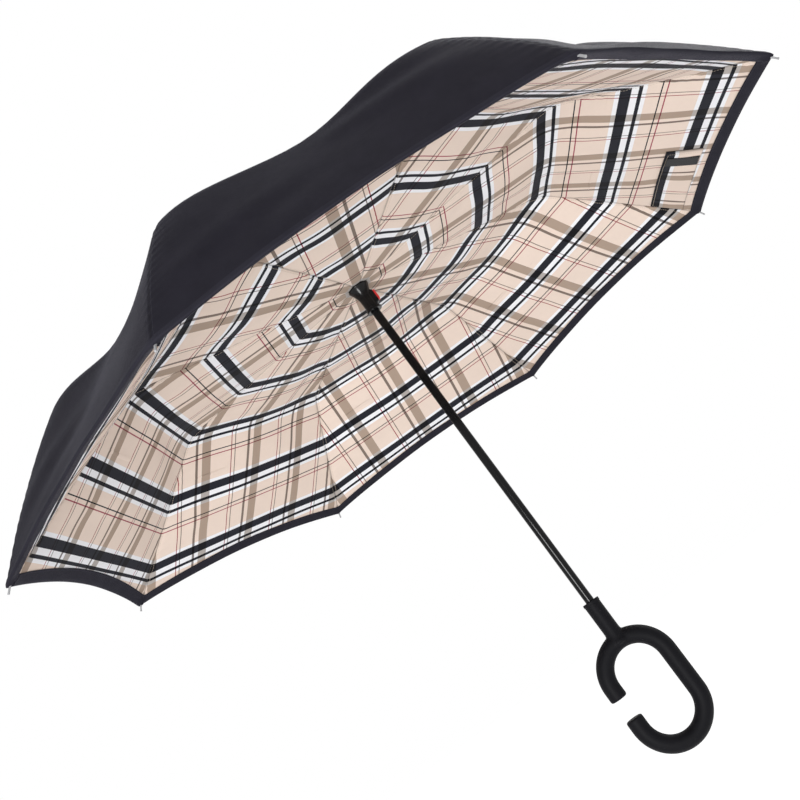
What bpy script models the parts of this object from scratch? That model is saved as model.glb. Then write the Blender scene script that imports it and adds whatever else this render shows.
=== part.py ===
"""Inverted umbrella with two canopies, modelled open.

The frame is a tree: the runner slides on the shaft, a rib hinges on the runner,
and each rib carries an outer rib at its elbow. Stretchers hinge on the crown.
To fold, the runner goes down towards the handle and every rib turns up.

All lengths are in metres. +Z runs along the shaft from the handle to the crown.
The origin is the centre of the C-shaped handle's loop, on the shaft's axis.
Each spoke (rib, outer rib, stretcher, tip and canopy panels) is drawn once in
the XZ plane, X outwards, and placed eight times round the shaft.
"""

import math

import bmesh
import bpy
import numpy as np
from mathutils import Matrix, Vector

# Layout
spoke_count = 8
first_spoke_angle = math.radians(22.5)
runner_pivot_height = 0.6065
hub_spacing = 0.1160
runner_travel = 0.434
running_gap = 0.0003
overrun = 0.002
merge_distance = 0.000001
round_steps = 24

# Shaft
shaft_radius = 0.0055
shaft_wall = 0.0008
shaft_end_rise = 0.0080

# Handle
loop_arc_radius = 0.0395
loop_straight_length = 0.0515
loop_gap_height = 0.025
grip_radius = 0.0106
grip_edge_radius = 0.0012
neck_top_height = 0.119
neck_taper = 0.0006
neck_lip_radius = 0.0106
neck_lip_height = 0.0040
neck_bore_depth = 0.0365
arc_steps = 10
grip_sides = 16

# Runner
runner_ring_radius = 0.0145
runner_flange_radius = 0.0172
runner_flange_half_height = 0.0030
runner_hub_radius = 0.0118
runner_flare_radius = 0.0145
runner_flare_top_drop = 0.0048
runner_flare_height = 0.0068
runner_neck_radius = 0.0094
runner_body_radius = 0.0090
runner_length = 0.0430
runner_lip_radius = 0.0106
runner_lip_height = 0.0026
ring_wire_radius = 0.0005
ring_groove_half_height = 0.0009

# Release button
housing_reach = 0.0126
housing_width = 0.0100
housing_height = 0.0190
housing_centre_drop = 0.0260
housing_edge_radius = 0.0010
pocket_floor_radius = 0.0070
button_width = 0.0068
button_height = 0.0150
button_proud = 0.0024
button_edge_radius = 0.0012
button_travel = 0.0020
spring_length = 0.0030
spring_radius = 0.0018
spring_wire_radius = 0.0002
spring_turns = 3
spring_points_per_turn = 8

# Crown and cap
crown_ring_radius = 0.0105
crown_flange_radius = 0.0134
crown_flange_half_height = 0.0030
crown_hub_radius = 0.0076
crown_skirt_drop = 0.0100
crown_top_rise = 0.0100
cap_radius = 0.0165
cap_edge_height = 0.0016
cap_shoulder_height = 0.0032
cap_dome_height = 0.0080
cap_nose_radius = 0.0046
cap_nose_height = 0.0090
cap_flat_radius = 0.0034
cap_stud_radius = 0.0034
cap_stud_length = 0.0130

# Rib: a folded steel channel with an elbow at its outer end
rib_length = 0.3680
rib_rise_angle = math.radians(3.0)
rib_width = 0.0040
rib_depth = 0.0035
rib_tongue_width = 0.0020
rib_tongue_length = 0.0060
rib_channel_width = 0.0024
rib_channel_depth = 0.0022
rib_channel_end = 0.0140
eye_radius = 0.0022
ring_eye_bore_radius = 0.0008
elbow_radius = 0.0400
elbow_turn = math.radians(48.0)
elbow_steps = 5
rivet_radius = 0.0008
rivet_bore_radius = 0.0011
rivet_head_radius = 0.0014
rivet_stub_proud = 0.0002

# Outer rib: a glass-fibre rod in a forked steel socket
outer_rib_length = 0.18732
outer_rib_drop_angle = math.radians(49.11)
outer_rib_bow = 0.0048
outer_rib_fold = math.radians(50.0)
rod_radius = 0.0015
rod_points = 9
fork_cheek_width = 0.0010
fork_root_length = 0.0036
socket_length = 0.0120
socket_radius = 0.0023
tip_sleeve_length = 0.0200
tip_sleeve_radius = 0.0025
tip_pin_radius = 0.0013
tip_pin_length = 0.0080
tip_cover = 0.0120

# Stretcher: a flat steel bar beside its rib
stretcher_width = 0.0025
stretcher_depth = 0.0030
stretcher_side_gap = 0.0005
stretcher_bore_radius = 0.0013
stretcher_end_radius = 0.0024

# Canopies
cloth_thickness = 0.0008
canopy_seat_gap = 0.0004
canopy_rib_gap = 0.0014
outer_hole_radius = 0.0080
inner_hole_radius = 0.0106
inner_clamp_radius = 0.0142
inner_knee_radius = 0.3250
hem_band = 0.0120
hem_rise = 0.0180
hem_rise_power = 3
sag_place_power = 1.3
puff_peak_share = 27 / 4
outer_sag = 0.0170
outer_puff = 0.0080
inner_sag = 0.0060
inner_puff = 0.0
panel_seam_gap = 0.0004
cone_steps = 4
bend_steps = 3
rod_steps = 5
across_steps = 8

# Closing strap
strap_length = 0.1640
strap_width = 0.0520
strap_thickness = 0.0016
strap_hem_inset = 0.0160
strap_seam_inset = 0.0060
strap_steps = 8
strap_patch_length = 0.0220
strap_patch_inset = 0.0120
strap_patch_margin = 0.0030
strap_patch_thickness = 0.0012

# Worked out from the sizes above
half_spoke_angle = math.pi / spoke_count
stretcher_offset = rib_width / 2 + stretcher_side_gap + stretcher_width / 2
crown_pivot_radius = math.sqrt(crown_ring_radius ** 2 - stretcher_offset ** 2)
crown_pivot_height = runner_pivot_height + hub_spacing
shaft_top_height = crown_pivot_height + shaft_end_rise
open_distance = hub_spacing
closed_distance = open_distance + runner_travel
pivot_step = runner_ring_radius - crown_pivot_radius
rib_pivot = np.array([runner_ring_radius, runner_pivot_height])
crown_pivot = np.array([crown_pivot_radius, crown_pivot_height])
along_rib = np.array([math.cos(rib_rise_angle), math.sin(rib_rise_angle)])
above_rib = np.array([-along_rib[1], along_rib[0]])
joint_distance = (closed_distance ** 2 - open_distance ** 2) / (
    2 * (closed_distance + pivot_step * along_rib[0] - open_distance * along_rib[1]))
stretcher_joint = rib_pivot + joint_distance * along_rib
elbow_start = rib_pivot + rib_length * along_rib
elbow_centre = elbow_start - elbow_radius * above_rib
elbow_end = elbow_centre + elbow_radius * (
    math.cos(elbow_turn) * above_rib + math.sin(elbow_turn) * along_rib)
along_outer = np.array([math.cos(outer_rib_drop_angle), -math.sin(outer_rib_drop_angle)])
above_outer = np.array([-along_outer[1], along_outer[0]])
rim_corner = elbow_end + outer_rib_length * along_outer
shaft_bore = shaft_radius + running_gap
loop_top = loop_straight_length / 2 + loop_arc_radius
shaft_foot_height = neck_top_height - neck_bore_depth + running_gap
spoke_angles = [first_spoke_angle + step * 2 * half_spoke_angle for step in range(spoke_count)]


def finish(name, colour, roughness, metallic=0.0):
    """A Principled material in one colour."""
    material = bpy.data.materials.new(name)
    material.use_nodes = True
    shader = material.node_tree.nodes["Principled BSDF"]
    shader.inputs["Base Color"].default_value = (*colour, 1.0)
    shader.inputs["Roughness"].default_value = roughness
    shader.inputs["Metallic"].default_value = metallic
    material.diffuse_color = (*colour, 1.0)
    return material


def add_mesh(name, mesh, material=None, parent=None, place=None):
    """An object for one mesh, moved to its place under its parent."""
    piece = bpy.data.objects.new(name, mesh)
    bpy.context.scene.collection.objects.link(piece)
    piece.parent = parent
    if place is not None:
        piece.location = place
    if material is not None:
        piece.data.materials.clear()
        piece.data.materials.append(material)
    return piece


def mesh_from(builder, name="shape"):
    """A clean mesh out of a bmesh, its faces turned outwards."""
    bmesh.ops.remove_doubles(builder, verts=builder.verts, dist=merge_distance)
    bmesh.ops.recalc_face_normals(builder, faces=builder.faces)
    mesh = bpy.data.meshes.new(name)
    builder.to_mesh(mesh)
    builder.free()
    return mesh


def prism(outline, low, high):
    """A solid with an outline in XZ, carried along Y from low to high."""
    builder = bmesh.new()
    corners = [builder.verts.new((x, low, z)) for x, z in outline]
    face = builder.faces.new(corners)
    grown = bmesh.ops.extrude_face_region(builder, geom=[face])
    moved = [item for item in grown["geom"] if isinstance(item, bmesh.types.BMVert)]
    bmesh.ops.translate(builder, verts=moved, vec=(0, high - low, 0))
    return mesh_from(builder)


def turned(profile, steps=round_steps):
    """A solid of revolution about Z from a closed profile of (radius, height)."""
    builder = bmesh.new()
    points = [builder.verts.new((radius, 0, height)) for radius, height in profile]
    edges = [builder.edges.new((a, b)) for a, b in zip(points, points[1:] + points[:1])
             if a.co.x > 0 or b.co.x > 0]
    bmesh.ops.spin(builder, geom=points + edges, cent=(0, 0, 0), axis=(0, 0, 1),
                   angle=2 * math.pi, steps=steps, use_merge=True)
    return mesh_from(builder)


def disc(centre, radius, low, high, sides=12):
    """A round plate about a point of the XZ plane, its axis along Y."""
    step = 2 * math.pi / sides
    outline = [(centre[0] + radius * math.cos(step * side), centre[1] + radius * math.sin(step * side))
               for side in range(sides)]
    return prism(outline, low, high)


def block(size, centre, edge=0):
    """A box of a given size about its centre, with its upright edges rounded by edge."""
    builder = bmesh.new()
    bmesh.ops.create_cube(builder, size=1)
    bmesh.ops.scale(builder, verts=builder.verts, vec=size)
    if edge:
        bmesh.ops.bevel(builder, geom=builder.edges, offset=edge, segments=2, profile=0.5,
                        affect="EDGES")
    bmesh.ops.translate(builder, verts=builder.verts, vec=centre)
    return mesh_from(builder)


def combine(base, others, operation):
    """Join or cut meshes with exact Booleans and give back the finished mesh."""
    body = add_mesh("working_body", base)
    helpers = []
    for other in others:
        helper = add_mesh("working_helper", other)
        helpers.append(helper)
        step = body.modifiers.new("step", "BOOLEAN")
        step.operation = operation
        step.solver = "EXACT"
        step.object = helper
    graph = bpy.context.evaluated_depsgraph_get()
    result = bpy.data.meshes.new_from_object(body.evaluated_get(graph))
    for piece in helpers + [body]:
        bpy.data.objects.remove(piece)
    return result


def fuse(base, others):
    """Join solids that overlap into one."""
    return combine(base, others, "UNION")


def cut(base, others):
    """Take solids away from a base."""
    return combine(base, others, "DIFFERENCE")


def moved(mesh, offset=(0, 0, 0), turn=0):
    """A copy of a mesh, turned about Z and then shifted."""
    copy = mesh.copy()
    copy.transform(Matrix.Translation(Vector(offset)) @ Matrix.Rotation(turn, 4, "Z"))
    return copy


def tube(points, radius, resolution=2, closed=False):
    """A round wire or rod along points, its ends filled."""
    curve = bpy.data.curves.new("path", "CURVE")
    curve.dimensions = "3D"
    curve.bevel_depth = radius
    curve.bevel_resolution = resolution
    curve.use_fill_caps = not closed
    spline = curve.splines.new("POLY")
    spline.points.add(len(points) - 1)
    for knot, point in zip(spline.points, points):
        knot.co = (*point, 1)
    spline.use_cyclic_u = closed
    guide = bpy.data.objects.new("path", curve)
    bpy.context.scene.collection.objects.link(guide)
    graph = bpy.context.evaluated_depsgraph_get()
    mesh = bpy.data.meshes.new_from_object(guide.evaluated_get(graph))
    bpy.data.objects.remove(guide)
    builder = bmesh.new()
    builder.from_mesh(mesh)
    return mesh_from(builder)


def smooth(piece, angle=math.radians(35)):
    """Shade a piece smooth, with its corners kept sharp."""
    piece.data.shade_smooth()
    piece.data.set_sharp_from_angle(angle=angle)


def bar_outline(path, half_depth):
    """The outline of a strip of constant depth along a path in XZ."""
    path = np.asarray(path)
    ahead = np.gradient(path, axis=0)
    ahead = ahead / np.linalg.norm(ahead, axis=1)[:, None]
    side = np.stack([-ahead[:, 1], ahead[:, 0]], axis=1)
    upper = path + half_depth * side
    lower = path - half_depth * side
    return [tuple(point) for point in np.concatenate([upper, lower[::-1]])]


def make_shaft(parent, material):
    """The steel tube from the handle's neck to the crown."""
    inner = shaft_radius - shaft_wall
    profile = [(shaft_radius, shaft_top_height), (shaft_radius, shaft_foot_height),
               (inner, shaft_foot_height), (inner, shaft_top_height)]
    smooth(add_mesh("shaft", turned(profile), material, parent))


def loop_path():
    """The C-handle's centre line, from one side of its gap round to the other."""
    half = loop_straight_length / 2
    gap = loop_gap_height / 2
    step = math.pi / arc_steps
    upper = [(-loop_arc_radius * math.cos(step * k), half + loop_arc_radius * math.sin(step * k))
             for k in range(arc_steps + 1)]
    lower = [(loop_arc_radius * math.cos(step * k), -half - loop_arc_radius * math.sin(step * k))
             for k in range(arc_steps + 1)]
    path = [(-loop_arc_radius, gap)] + upper + lower + [(-loop_arc_radius, -gap)]
    return [(x, 0, z) for x, z in path]


def make_handle(parent, material):
    """The C-shaped grip and its neck, moulded in one, with a blind bore for the shaft."""
    path = np.array(loop_path())
    ahead = np.gradient(path, axis=0)
    ahead[0] = path[1] - path[0]
    ahead[-1] = path[-1] - path[-2]
    ahead = ahead / np.linalg.norm(ahead, axis=1)[:, None]
    side = np.stack([ahead[:, 2], 0 * ahead[:, 0], -ahead[:, 0]], axis=1)
    rings = []
    order = [(path[0], side[0], grip_edge_radius), (path[0] + grip_edge_radius * ahead[0], side[0], 0)]
    order += [(point, normal, 0) for point, normal in zip(path[1:-1], side[1:-1])]
    order += [(path[-1] - grip_edge_radius * ahead[-1], side[-1], 0), (path[-1], side[-1], grip_edge_radius)]
    turn = 2 * math.pi / grip_sides
    builder = bmesh.new()
    for centre, normal, inset in order:
        reach = grip_radius - inset
        rings.append([builder.verts.new(
            centre + reach * (math.cos(turn * k) * normal + math.sin(turn * k) * np.array([0, 1, 0])))
            for k in range(grip_sides)])
    for near, far in zip(rings, rings[1:]):
        for k in range(grip_sides):
            after = (k + 1) % grip_sides
            builder.faces.new((near[k], near[after], far[after], far[k]))
    builder.faces.new(rings[0])
    builder.faces.new(rings[-1])
    grip = mesh_from(builder)
    bore_floor = neck_top_height - neck_bore_depth
    lip_start = neck_top_height - neck_lip_height
    neck_radius = grip_radius - neck_taper
    root = loop_top - neck_taper
    neck = turned([(0, root), (grip_radius, root), (neck_radius, lip_start),
                   (neck_lip_radius, lip_start), (neck_lip_radius, neck_top_height - neck_taper),
                   (neck_lip_radius - neck_taper, neck_top_height), (shaft_bore, neck_top_height),
                   (shaft_bore, bore_floor), (0, bore_floor)])
    smooth(add_mesh("handle", fuse(grip, [neck]), material, parent))


def slots(length, width, offset, inner, height, half_height):
    """Slots for the spokes' eyes, cut in from a flange's edge."""
    centre = inner + length / 2
    single = block((length, width, 2 * half_height), (centre, offset, height))
    return [moved(single, turn=angle) for angle in spoke_angles]


def make_runner(parent, material):
    """The sliding runner: a slotted flange on a flared sleeve, with the button's housing."""
    top = runner_flange_half_height + ring_groove_half_height
    half = runner_flange_half_height
    groove = ring_groove_half_height
    seat = runner_ring_radius - ring_wire_radius - running_gap
    flare_top = -runner_flare_top_drop
    flare_foot = flare_top - runner_flare_height
    foot = -runner_length
    lip = foot + runner_lip_height
    profile = [(shaft_bore, top), (runner_hub_radius, top), (runner_hub_radius, half),
               (runner_flange_radius, half), (runner_flange_radius, groove), (seat, groove),
               (seat, -groove), (runner_flange_radius, -groove), (runner_flange_radius, -half),
               (runner_neck_radius, -half), (runner_neck_radius, flare_top),
               (runner_flare_radius, flare_top), (runner_flare_radius, flare_top - ring_wire_radius),
               (runner_body_radius, flare_foot), (runner_body_radius, lip),
               (runner_lip_radius, lip - ring_wire_radius), (runner_lip_radius, foot),
               (shaft_bore, foot)]
    sleeve = turned(profile)
    reach = housing_reach - shaft_bore - running_gap
    housing = block((reach, housing_width, housing_height),
                    (shaft_bore + running_gap + reach / 2, 0, -housing_centre_drop), housing_edge_radius)
    pocket_depth = housing_reach - pocket_floor_radius + overrun
    pocket = block((pocket_depth, button_width + 2 * running_gap, button_height + 2 * running_gap),
                   (pocket_floor_radius + pocket_depth / 2, 0, -housing_centre_drop))
    slot_length = runner_flange_radius - runner_hub_radius + overrun
    notches = slots(slot_length, rib_tongue_width + 2 * running_gap, 0, runner_hub_radius, 0,
                    half + overrun / 2)
    runner = cut(fuse(sleeve, [housing]), notches + [pocket])
    smooth(add_mesh("runner", runner, material, parent))


def ring_points(radius):
    """Points round a circle about the shaft."""
    turn = 2 * math.pi / round_steps
    return [(radius * math.cos(turn * k), radius * math.sin(turn * k), 0) for k in range(round_steps)]


def make_button(parent, carrier, material, spring_material):
    """The release button in its pocket, and the coil spring behind it."""
    face = housing_reach + button_proud
    back = pocket_floor_radius + spring_length + 2 * running_gap
    depth = face - back
    button = block((depth, button_width, button_height), (back + depth / 2, 0, 0), button_edge_radius)
    smooth(add_mesh("release_button", button, material, parent))
    start = pocket_floor_radius + running_gap + spring_wire_radius
    run = spring_length - 2 * spring_wire_radius
    count = spring_turns * spring_points_per_turn
    turn = 2 * math.pi / spring_points_per_turn
    coil = [(start + run * k / count, spring_radius * math.cos(turn * k), spring_radius * math.sin(turn * k))
            for k in range(count + 1)]
    pitch = run / spring_turns
    print("spring: least gap between turns %.5f m" % (pitch - 2 * spring_wire_radius))
    spring = add_mesh("button_spring", tube(coil, spring_wire_radius, 1), spring_material, carrier,
                      (0, 0, -housing_centre_drop))
    smooth(spring)


def make_crown(parent, material, wire_material, cap_material):
    """The slotted crown on the shaft's top, its ring wire, and the cap that clamps the canopy."""
    half = crown_flange_half_height
    groove = ring_groove_half_height
    seat = crown_ring_radius - ring_wire_radius - running_gap
    profile = [(shaft_bore, crown_top_rise), (crown_flange_radius, crown_top_rise),
               (crown_flange_radius, groove), (seat, groove), (seat, -groove),
               (crown_flange_radius, -groove), (crown_flange_radius, -half),
               (crown_hub_radius, -half), (crown_hub_radius, -crown_skirt_drop),
               (shaft_bore, -crown_skirt_drop)]
    width = stretcher_width + 2 * running_gap
    inner = crown_pivot_radius - eye_radius - running_gap
    length = crown_flange_radius - inner + overrun
    floor_to_top = stretcher_end_radius + running_gap
    height = floor_to_top / 2 - (half + overrun) / 2
    notches = slots(length, width, stretcher_offset, inner, height, (floor_to_top + half + overrun) / 2)
    crown = cut(turned(profile), notches)
    place = (0, 0, crown_pivot_height)
    smooth(add_mesh("crown", crown, material, parent, place))
    ring = tube(ring_points(crown_ring_radius), ring_wire_radius, 1, closed=True)
    smooth(add_mesh("crown_wire", ring, wire_material, parent, place))
    bottom = crown_top_rise + cloth_thickness + 2 * canopy_seat_gap
    edge = bottom + cap_edge_height
    dome = edge + cap_dome_height
    nose = dome + cap_nose_height
    chamfer = cap_nose_radius - cap_flat_radius
    slope = (cap_radius - cap_nose_radius) / 3
    cap = turned([(0, nose), (cap_flat_radius, nose), (cap_nose_radius, nose - chamfer),
                  (cap_nose_radius, dome), (cap_nose_radius + slope, dome - cap_edge_height),
                  (cap_nose_radius + 2 * slope, edge + cap_shoulder_height),
                  (cap_radius, edge), (cap_radius, bottom), (cap_stud_radius, bottom),
                  (cap_stud_radius, bottom - cap_stud_length), (0, bottom - cap_stud_length)])
    smooth(add_mesh("top_cap", cap, cap_material, parent, place))
    return place[2] + nose


def rib_mesh():
    """The channel-section rib about its runner pivot, with both eyes and the rivet's stub."""
    steps = [elbow_turn * k / elbow_steps for k in range(elbow_steps + 1)]
    arc = [elbow_centre + elbow_radius * (math.cos(turn) * above_rib + math.sin(turn) * along_rib)
           for turn in steps]
    path = np.array([rib_pivot] + arc) - rib_pivot
    half = rib_width / 2
    tongue = rib_tongue_width / 2
    solid = prism(bar_outline(path, rib_depth / 2), -half, half)
    eyes = [disc(path[0], eye_radius, -tongue, tongue), disc(path[-1], eye_radius, -tongue, tongue)]
    stub_at = stretcher_joint - rib_pivot
    stub = disc(stub_at, rivet_head_radius, 0, half + rivet_stub_proud, 10)
    cheek = rib_tongue_length + eye_radius
    cutters = []
    for centre in (path[0], path[-1]):
        for side in (-1, 1):
            low = tongue if side > 0 else -half - overrun
            high = half + overrun if side > 0 else -tongue
            cutters.append(disc(centre, cheek, low, high, 16))
    floor = rib_depth / 2 - rib_channel_depth
    run_in = rib_channel_end
    run_out = rib_length - rib_channel_end
    channel = [tuple(run_in * along_rib + floor * above_rib), tuple(run_out * along_rib + floor * above_rib),
               tuple(run_out * along_rib + rib_depth * above_rib),
               tuple(run_in * along_rib + rib_depth * above_rib)]
    cutters.append(prism(channel, -rib_channel_width / 2, rib_channel_width / 2))
    trimmed = cut(solid, cutters[:-1])
    joined = fuse(trimmed, eyes + [stub])
    bores = [disc(path[0], ring_eye_bore_radius, -half, half, 10),
             disc(path[-1], rivet_bore_radius, -half, half, 10)]
    return cut(joined, [cutters[-1]] + bores)


def rod_line(shares):
    """The outer rib's centre line: a chord with a shallow parabolic bow."""
    shares = np.asarray(shares, dtype=float)[:, None]
    chord = elbow_end + shares * outer_rib_length * along_outer
    return chord + 4 * outer_rib_bow * shares * (1 - shares) * above_outer


def outer_rib_mesh():
    """The forked socket and its glass-fibre rod, about the elbow's pivot."""
    start = socket_length / outer_rib_length
    stop = 1 - tip_cover / outer_rib_length
    shares = [start / 2 + (stop - start / 2) * k / (rod_points - 1) for k in range(rod_points)]
    points = rod_line(shares) - elbow_end
    rod = tube([(x, 0, z) for x, z in points], rod_radius)
    root = rod_line([0, start / 2, start]) - elbow_end
    ahead = (root[1] - root[0]) / np.linalg.norm(root[1] - root[0])
    half = rib_tongue_width / 2 + running_gap + fork_cheek_width
    body = prism(bar_outline([root[0], root[1], root[2]], socket_radius), -half, half)
    nose = disc(root[0], socket_radius, -half, half)
    gap = rib_tongue_width / 2 + running_gap
    mouth_end = root[0] + fork_root_length * ahead
    mouth = prism(bar_outline([root[0] - 2 * socket_radius * ahead, mouth_end],
                              socket_radius + overrun), -gap, gap)
    rivet = disc(root[0], rivet_radius, -half, half, 10)
    return fuse(cut(fuse(body, [nose]), [mouth]), [rivet, rod])


def tip_mesh():
    """The tip's sleeve over the rod's end, and its pin, about the elbow's pivot."""
    sleeve_start = 1 - tip_sleeve_length / outer_rib_length
    rod_end = 1 - tip_cover / outer_rib_length
    ends = rod_line([sleeve_start, rod_end, 1]) - elbow_end
    ahead = (ends[2] - ends[0]) / np.linalg.norm(ends[2] - ends[0])
    depth = np.linalg.norm(ends[1] - ends[0]) + running_gap
    length = tip_sleeve_length
    bore = rod_radius + running_gap
    profile = [(bore, 0), (tip_sleeve_radius, 0), (tip_sleeve_radius, length - tip_pin_radius),
               (tip_pin_radius, length), (tip_pin_radius, length + tip_pin_length - tip_pin_radius),
               (0, length + tip_pin_length), (0, depth), (bore, depth)]
    sleeve = turned(profile, 10)
    lean = math.atan2(ahead[0], ahead[1])
    sleeve.transform(Matrix.Translation((ends[0][0], 0, ends[0][1])) @ Matrix.Rotation(lean, 4, "Y"))
    return sleeve


def stretcher_mesh():
    """The flat bar from the crown to its rib, about the crown pivot, beside the rib."""
    low = stretcher_offset - stretcher_width / 2
    high = stretcher_offset + stretcher_width / 2
    end = stretcher_joint - crown_pivot
    bar = prism(bar_outline([(0, 0), tuple(end)], stretcher_depth / 2), low, high)
    eye = disc((0, 0), eye_radius, low, high)
    foot = disc(end, stretcher_end_radius, low, high)
    head = disc(end, rivet_head_radius, stretcher_offset, high + rivet_stub_proud * 2, 10)
    bore = disc((0, 0), stretcher_bore_radius, low - overrun, high + overrun, 10)
    return cut(fuse(bar, [eye, foot, head]), [bore])


def along_line(points, distances):
    """Points at given distances along a line of points in the rib's plane."""
    points = np.asarray(points)
    steps = np.linalg.norm(np.diff(points, axis=0), axis=1)
    total = np.concatenate([[0], np.cumsum(steps)])
    return np.stack([np.interp(distances, total, points[:, axis]) for axis in (0, 1)], axis=-1), total[-1]


def outer_meridian():
    """The outer canopy over one rib, from the cap to the rim."""
    seat = crown_pivot_height + crown_top_rise + canopy_seat_gap + cloth_thickness / 2
    lift = rib_depth / 2 + canopy_rib_gap + cloth_thickness / 2
    rod_lift = tip_sleeve_radius + canopy_rib_gap + cloth_thickness / 2
    knee = elbow_start + lift * above_rib
    edge = np.array([cap_radius, seat])
    cone = [edge + (knee - edge) * k / cone_steps for k in range(cone_steps + 1)]
    turns = [elbow_turn * (k + 1) / bend_steps for k in range(bend_steps)]
    over = elbow_radius + rod_lift
    bend = [elbow_centre + over * (math.cos(turn) * above_rib + math.sin(turn) * along_rib)
            for turn in turns]
    shares = [(k + 1) / rod_steps for k in range(rod_steps)]
    rod = [point + rod_lift * above_outer for point in rod_line(shares)]
    return np.array([(outer_hole_radius, seat)] + cone + bend + rod)


def inner_meridian():
    """The inner canopy under one rib, from the runner to the hem."""
    start = runner_pivot_height - runner_flange_half_height - canopy_seat_gap - cloth_thickness / 2
    knee = np.array([inner_knee_radius, runner_pivot_height])
    clamp = np.array([inner_clamp_radius, start])
    reach = rim_corner - knee
    hem = rim_corner - hem_band * reach / np.linalg.norm(reach)
    flat = [clamp + (knee - clamp) * k / cone_steps for k in range(cone_steps + 1)]
    skirt = [knee + (hem - knee) * (k + 1) / cone_steps for k in range(cone_steps)]
    return np.array([(inner_hole_radius, start)] + flat + skirt)


def panel_points(meridian, distances, across, sag, puff):
    """A canopy's surface about one rib.

    across runs from -1 to 1 between the middles of the two panels beside the rib.
    A panel hangs in at its middle by its sag, stands out beside its ribs by its
    puff, and is cut back at the hem.
    """
    _, length = along_line(meridian, [0])
    away = np.abs(across)
    cut_back = away * (2 - away)
    hang = away ** 2 * (3 - 2 * away)
    stand = puff_peak_share * away * (1 - away) ** 2
    share = distances / length
    drawn_back = hem_rise * cut_back[None, :] * share[:, None] ** hem_rise_power
    ring, _ = along_line(meridian, distances[:, None] - drawn_back)
    ahead = np.gradient(ring, axis=0)
    ahead = ahead / np.linalg.norm(ahead, axis=2)[:, :, None]
    inward = np.stack([ahead[:, :, 1], -ahead[:, :, 0]], axis=2)
    depth = (sag * hang - puff * stand)[None, :] * np.sin(math.pi * share[:, None] ** sag_place_power)
    radius = ring[:, :, 0]
    reach = away[None, :] * np.ones_like(radius)
    closest = 1 - panel_seam_gap / (2 * radius * math.sin(half_spoke_angle))
    reach = np.minimum(reach, closest)
    out = radius * (1 - reach * math.sin(half_spoke_angle) ** 2)
    sideways = radius * reach * math.sin(half_spoke_angle) * math.cos(half_spoke_angle)
    side = np.sign(across)[None, :]
    drawn = depth * inward[:, :, 0]
    x = out + drawn * math.cos(half_spoke_angle)
    y = side * (sideways + drawn * math.sin(half_spoke_angle) * reach)
    z = ring[:, :, 1] + depth * inward[:, :, 1]
    return np.stack([x, y, z], axis=2)


def cloth_mesh(grid, thickness, side=0):
    """A closed sheet of a given thickness on a grid of points."""
    rows, columns = grid.shape[:2]
    builder = bmesh.new()
    points = [builder.verts.new(point) for point in grid.reshape(-1, 3)]
    for row in range(rows - 1):
        for column in range(columns - 1):
            corner = row * columns + column
            builder.faces.new((points[corner], points[corner + columns], points[corner + columns + 1],
                               points[corner + 1]))
    mesh = bpy.data.meshes.new("sheet")
    builder.to_mesh(mesh)
    builder.free()
    sheet = add_mesh("working_sheet", mesh)
    wall = sheet.modifiers.new("wall", "SOLIDIFY")
    wall.thickness = thickness
    wall.offset = side
    graph = bpy.context.evaluated_depsgraph_get()
    result = bpy.data.meshes.new_from_object(sheet.evaluated_get(graph))
    bpy.data.objects.remove(sheet)
    builder = bmesh.new()
    builder.from_mesh(result)
    return mesh_from(builder)


def canopy_mesh(meridian, sag, puff):
    """One eighth of a canopy: the cloth from panel middle to panel middle over a rib."""
    steps = np.linalg.norm(np.diff(meridian, axis=0), axis=1)
    distances = np.concatenate([[0], np.cumsum(steps)])
    across = np.linspace(-1, 1, across_steps + 1)
    return cloth_mesh(panel_points(meridian, distances, across, sag, puff), cloth_thickness)


def strap_mesh():
    """The closing strap, lying on the inner canopy beside the first rib, and its hook patch."""
    meridian = inner_meridian()
    _, length = along_line(meridian, [0])
    outer_edge = length - strap_hem_inset
    rows = np.linspace(outer_edge - strap_width, outer_edge, 3)
    middle, _ = along_line(meridian, [rows[1]])
    half_chord = middle[0][0] * math.sin(half_spoke_angle)
    start = strap_seam_inset / half_chord
    stop = (strap_seam_inset + strap_length) / half_chord
    columns = -np.linspace(start, stop, strap_steps + 1)
    drop = cloth_thickness / 2 + canopy_seat_gap
    grid = panel_points(meridian, rows, columns, inner_sag, inner_puff)
    band = cloth_mesh(offset_grid(grid, drop + strap_thickness / 2), strap_thickness)
    patch_stop = stop - strap_patch_inset / half_chord
    patch_start = patch_stop - strap_patch_length / half_chord
    columns = -np.linspace(patch_start, patch_stop, 3)
    margin = strap_patch_margin
    rows = np.linspace(outer_edge - strap_width + margin, outer_edge - margin, 3)
    grid = panel_points(meridian, rows, columns, inner_sag, inner_puff)
    lift = drop + strap_thickness + strap_patch_thickness / 2 - running_gap
    patch = cloth_mesh(offset_grid(grid, lift), strap_patch_thickness)
    return fuse(band, [patch])


def offset_grid(grid, distance):
    """A grid of surface points moved down along its normals."""
    along = np.gradient(grid, axis=0)
    across = np.gradient(grid, axis=1)
    normal = np.cross(along, across)
    normal = normal / np.linalg.norm(normal, axis=2)[:, :, None]
    normal = normal * np.where(normal[:, :, 2:] > 0, 1, -1)
    return grid - distance * normal


def spoke_empty(name, parent, pivot, turn):
    """An empty on a joint's axis that turns a spoke into its place."""
    empty = bpy.data.objects.new(name, None)
    bpy.context.scene.collection.objects.link(empty)
    empty.parent = parent
    empty.rotation_euler = (0, 0, turn)
    empty.location = (pivot[0] * math.cos(turn), pivot[0] * math.sin(turn), pivot[1])
    return empty


def place_empty(name, parent, height):
    """An empty on the shaft's axis."""
    empty = bpy.data.objects.new(name, None)
    bpy.context.scene.collection.objects.link(empty)
    empty.parent = parent
    empty.location = (0, 0, height)
    return empty


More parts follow.
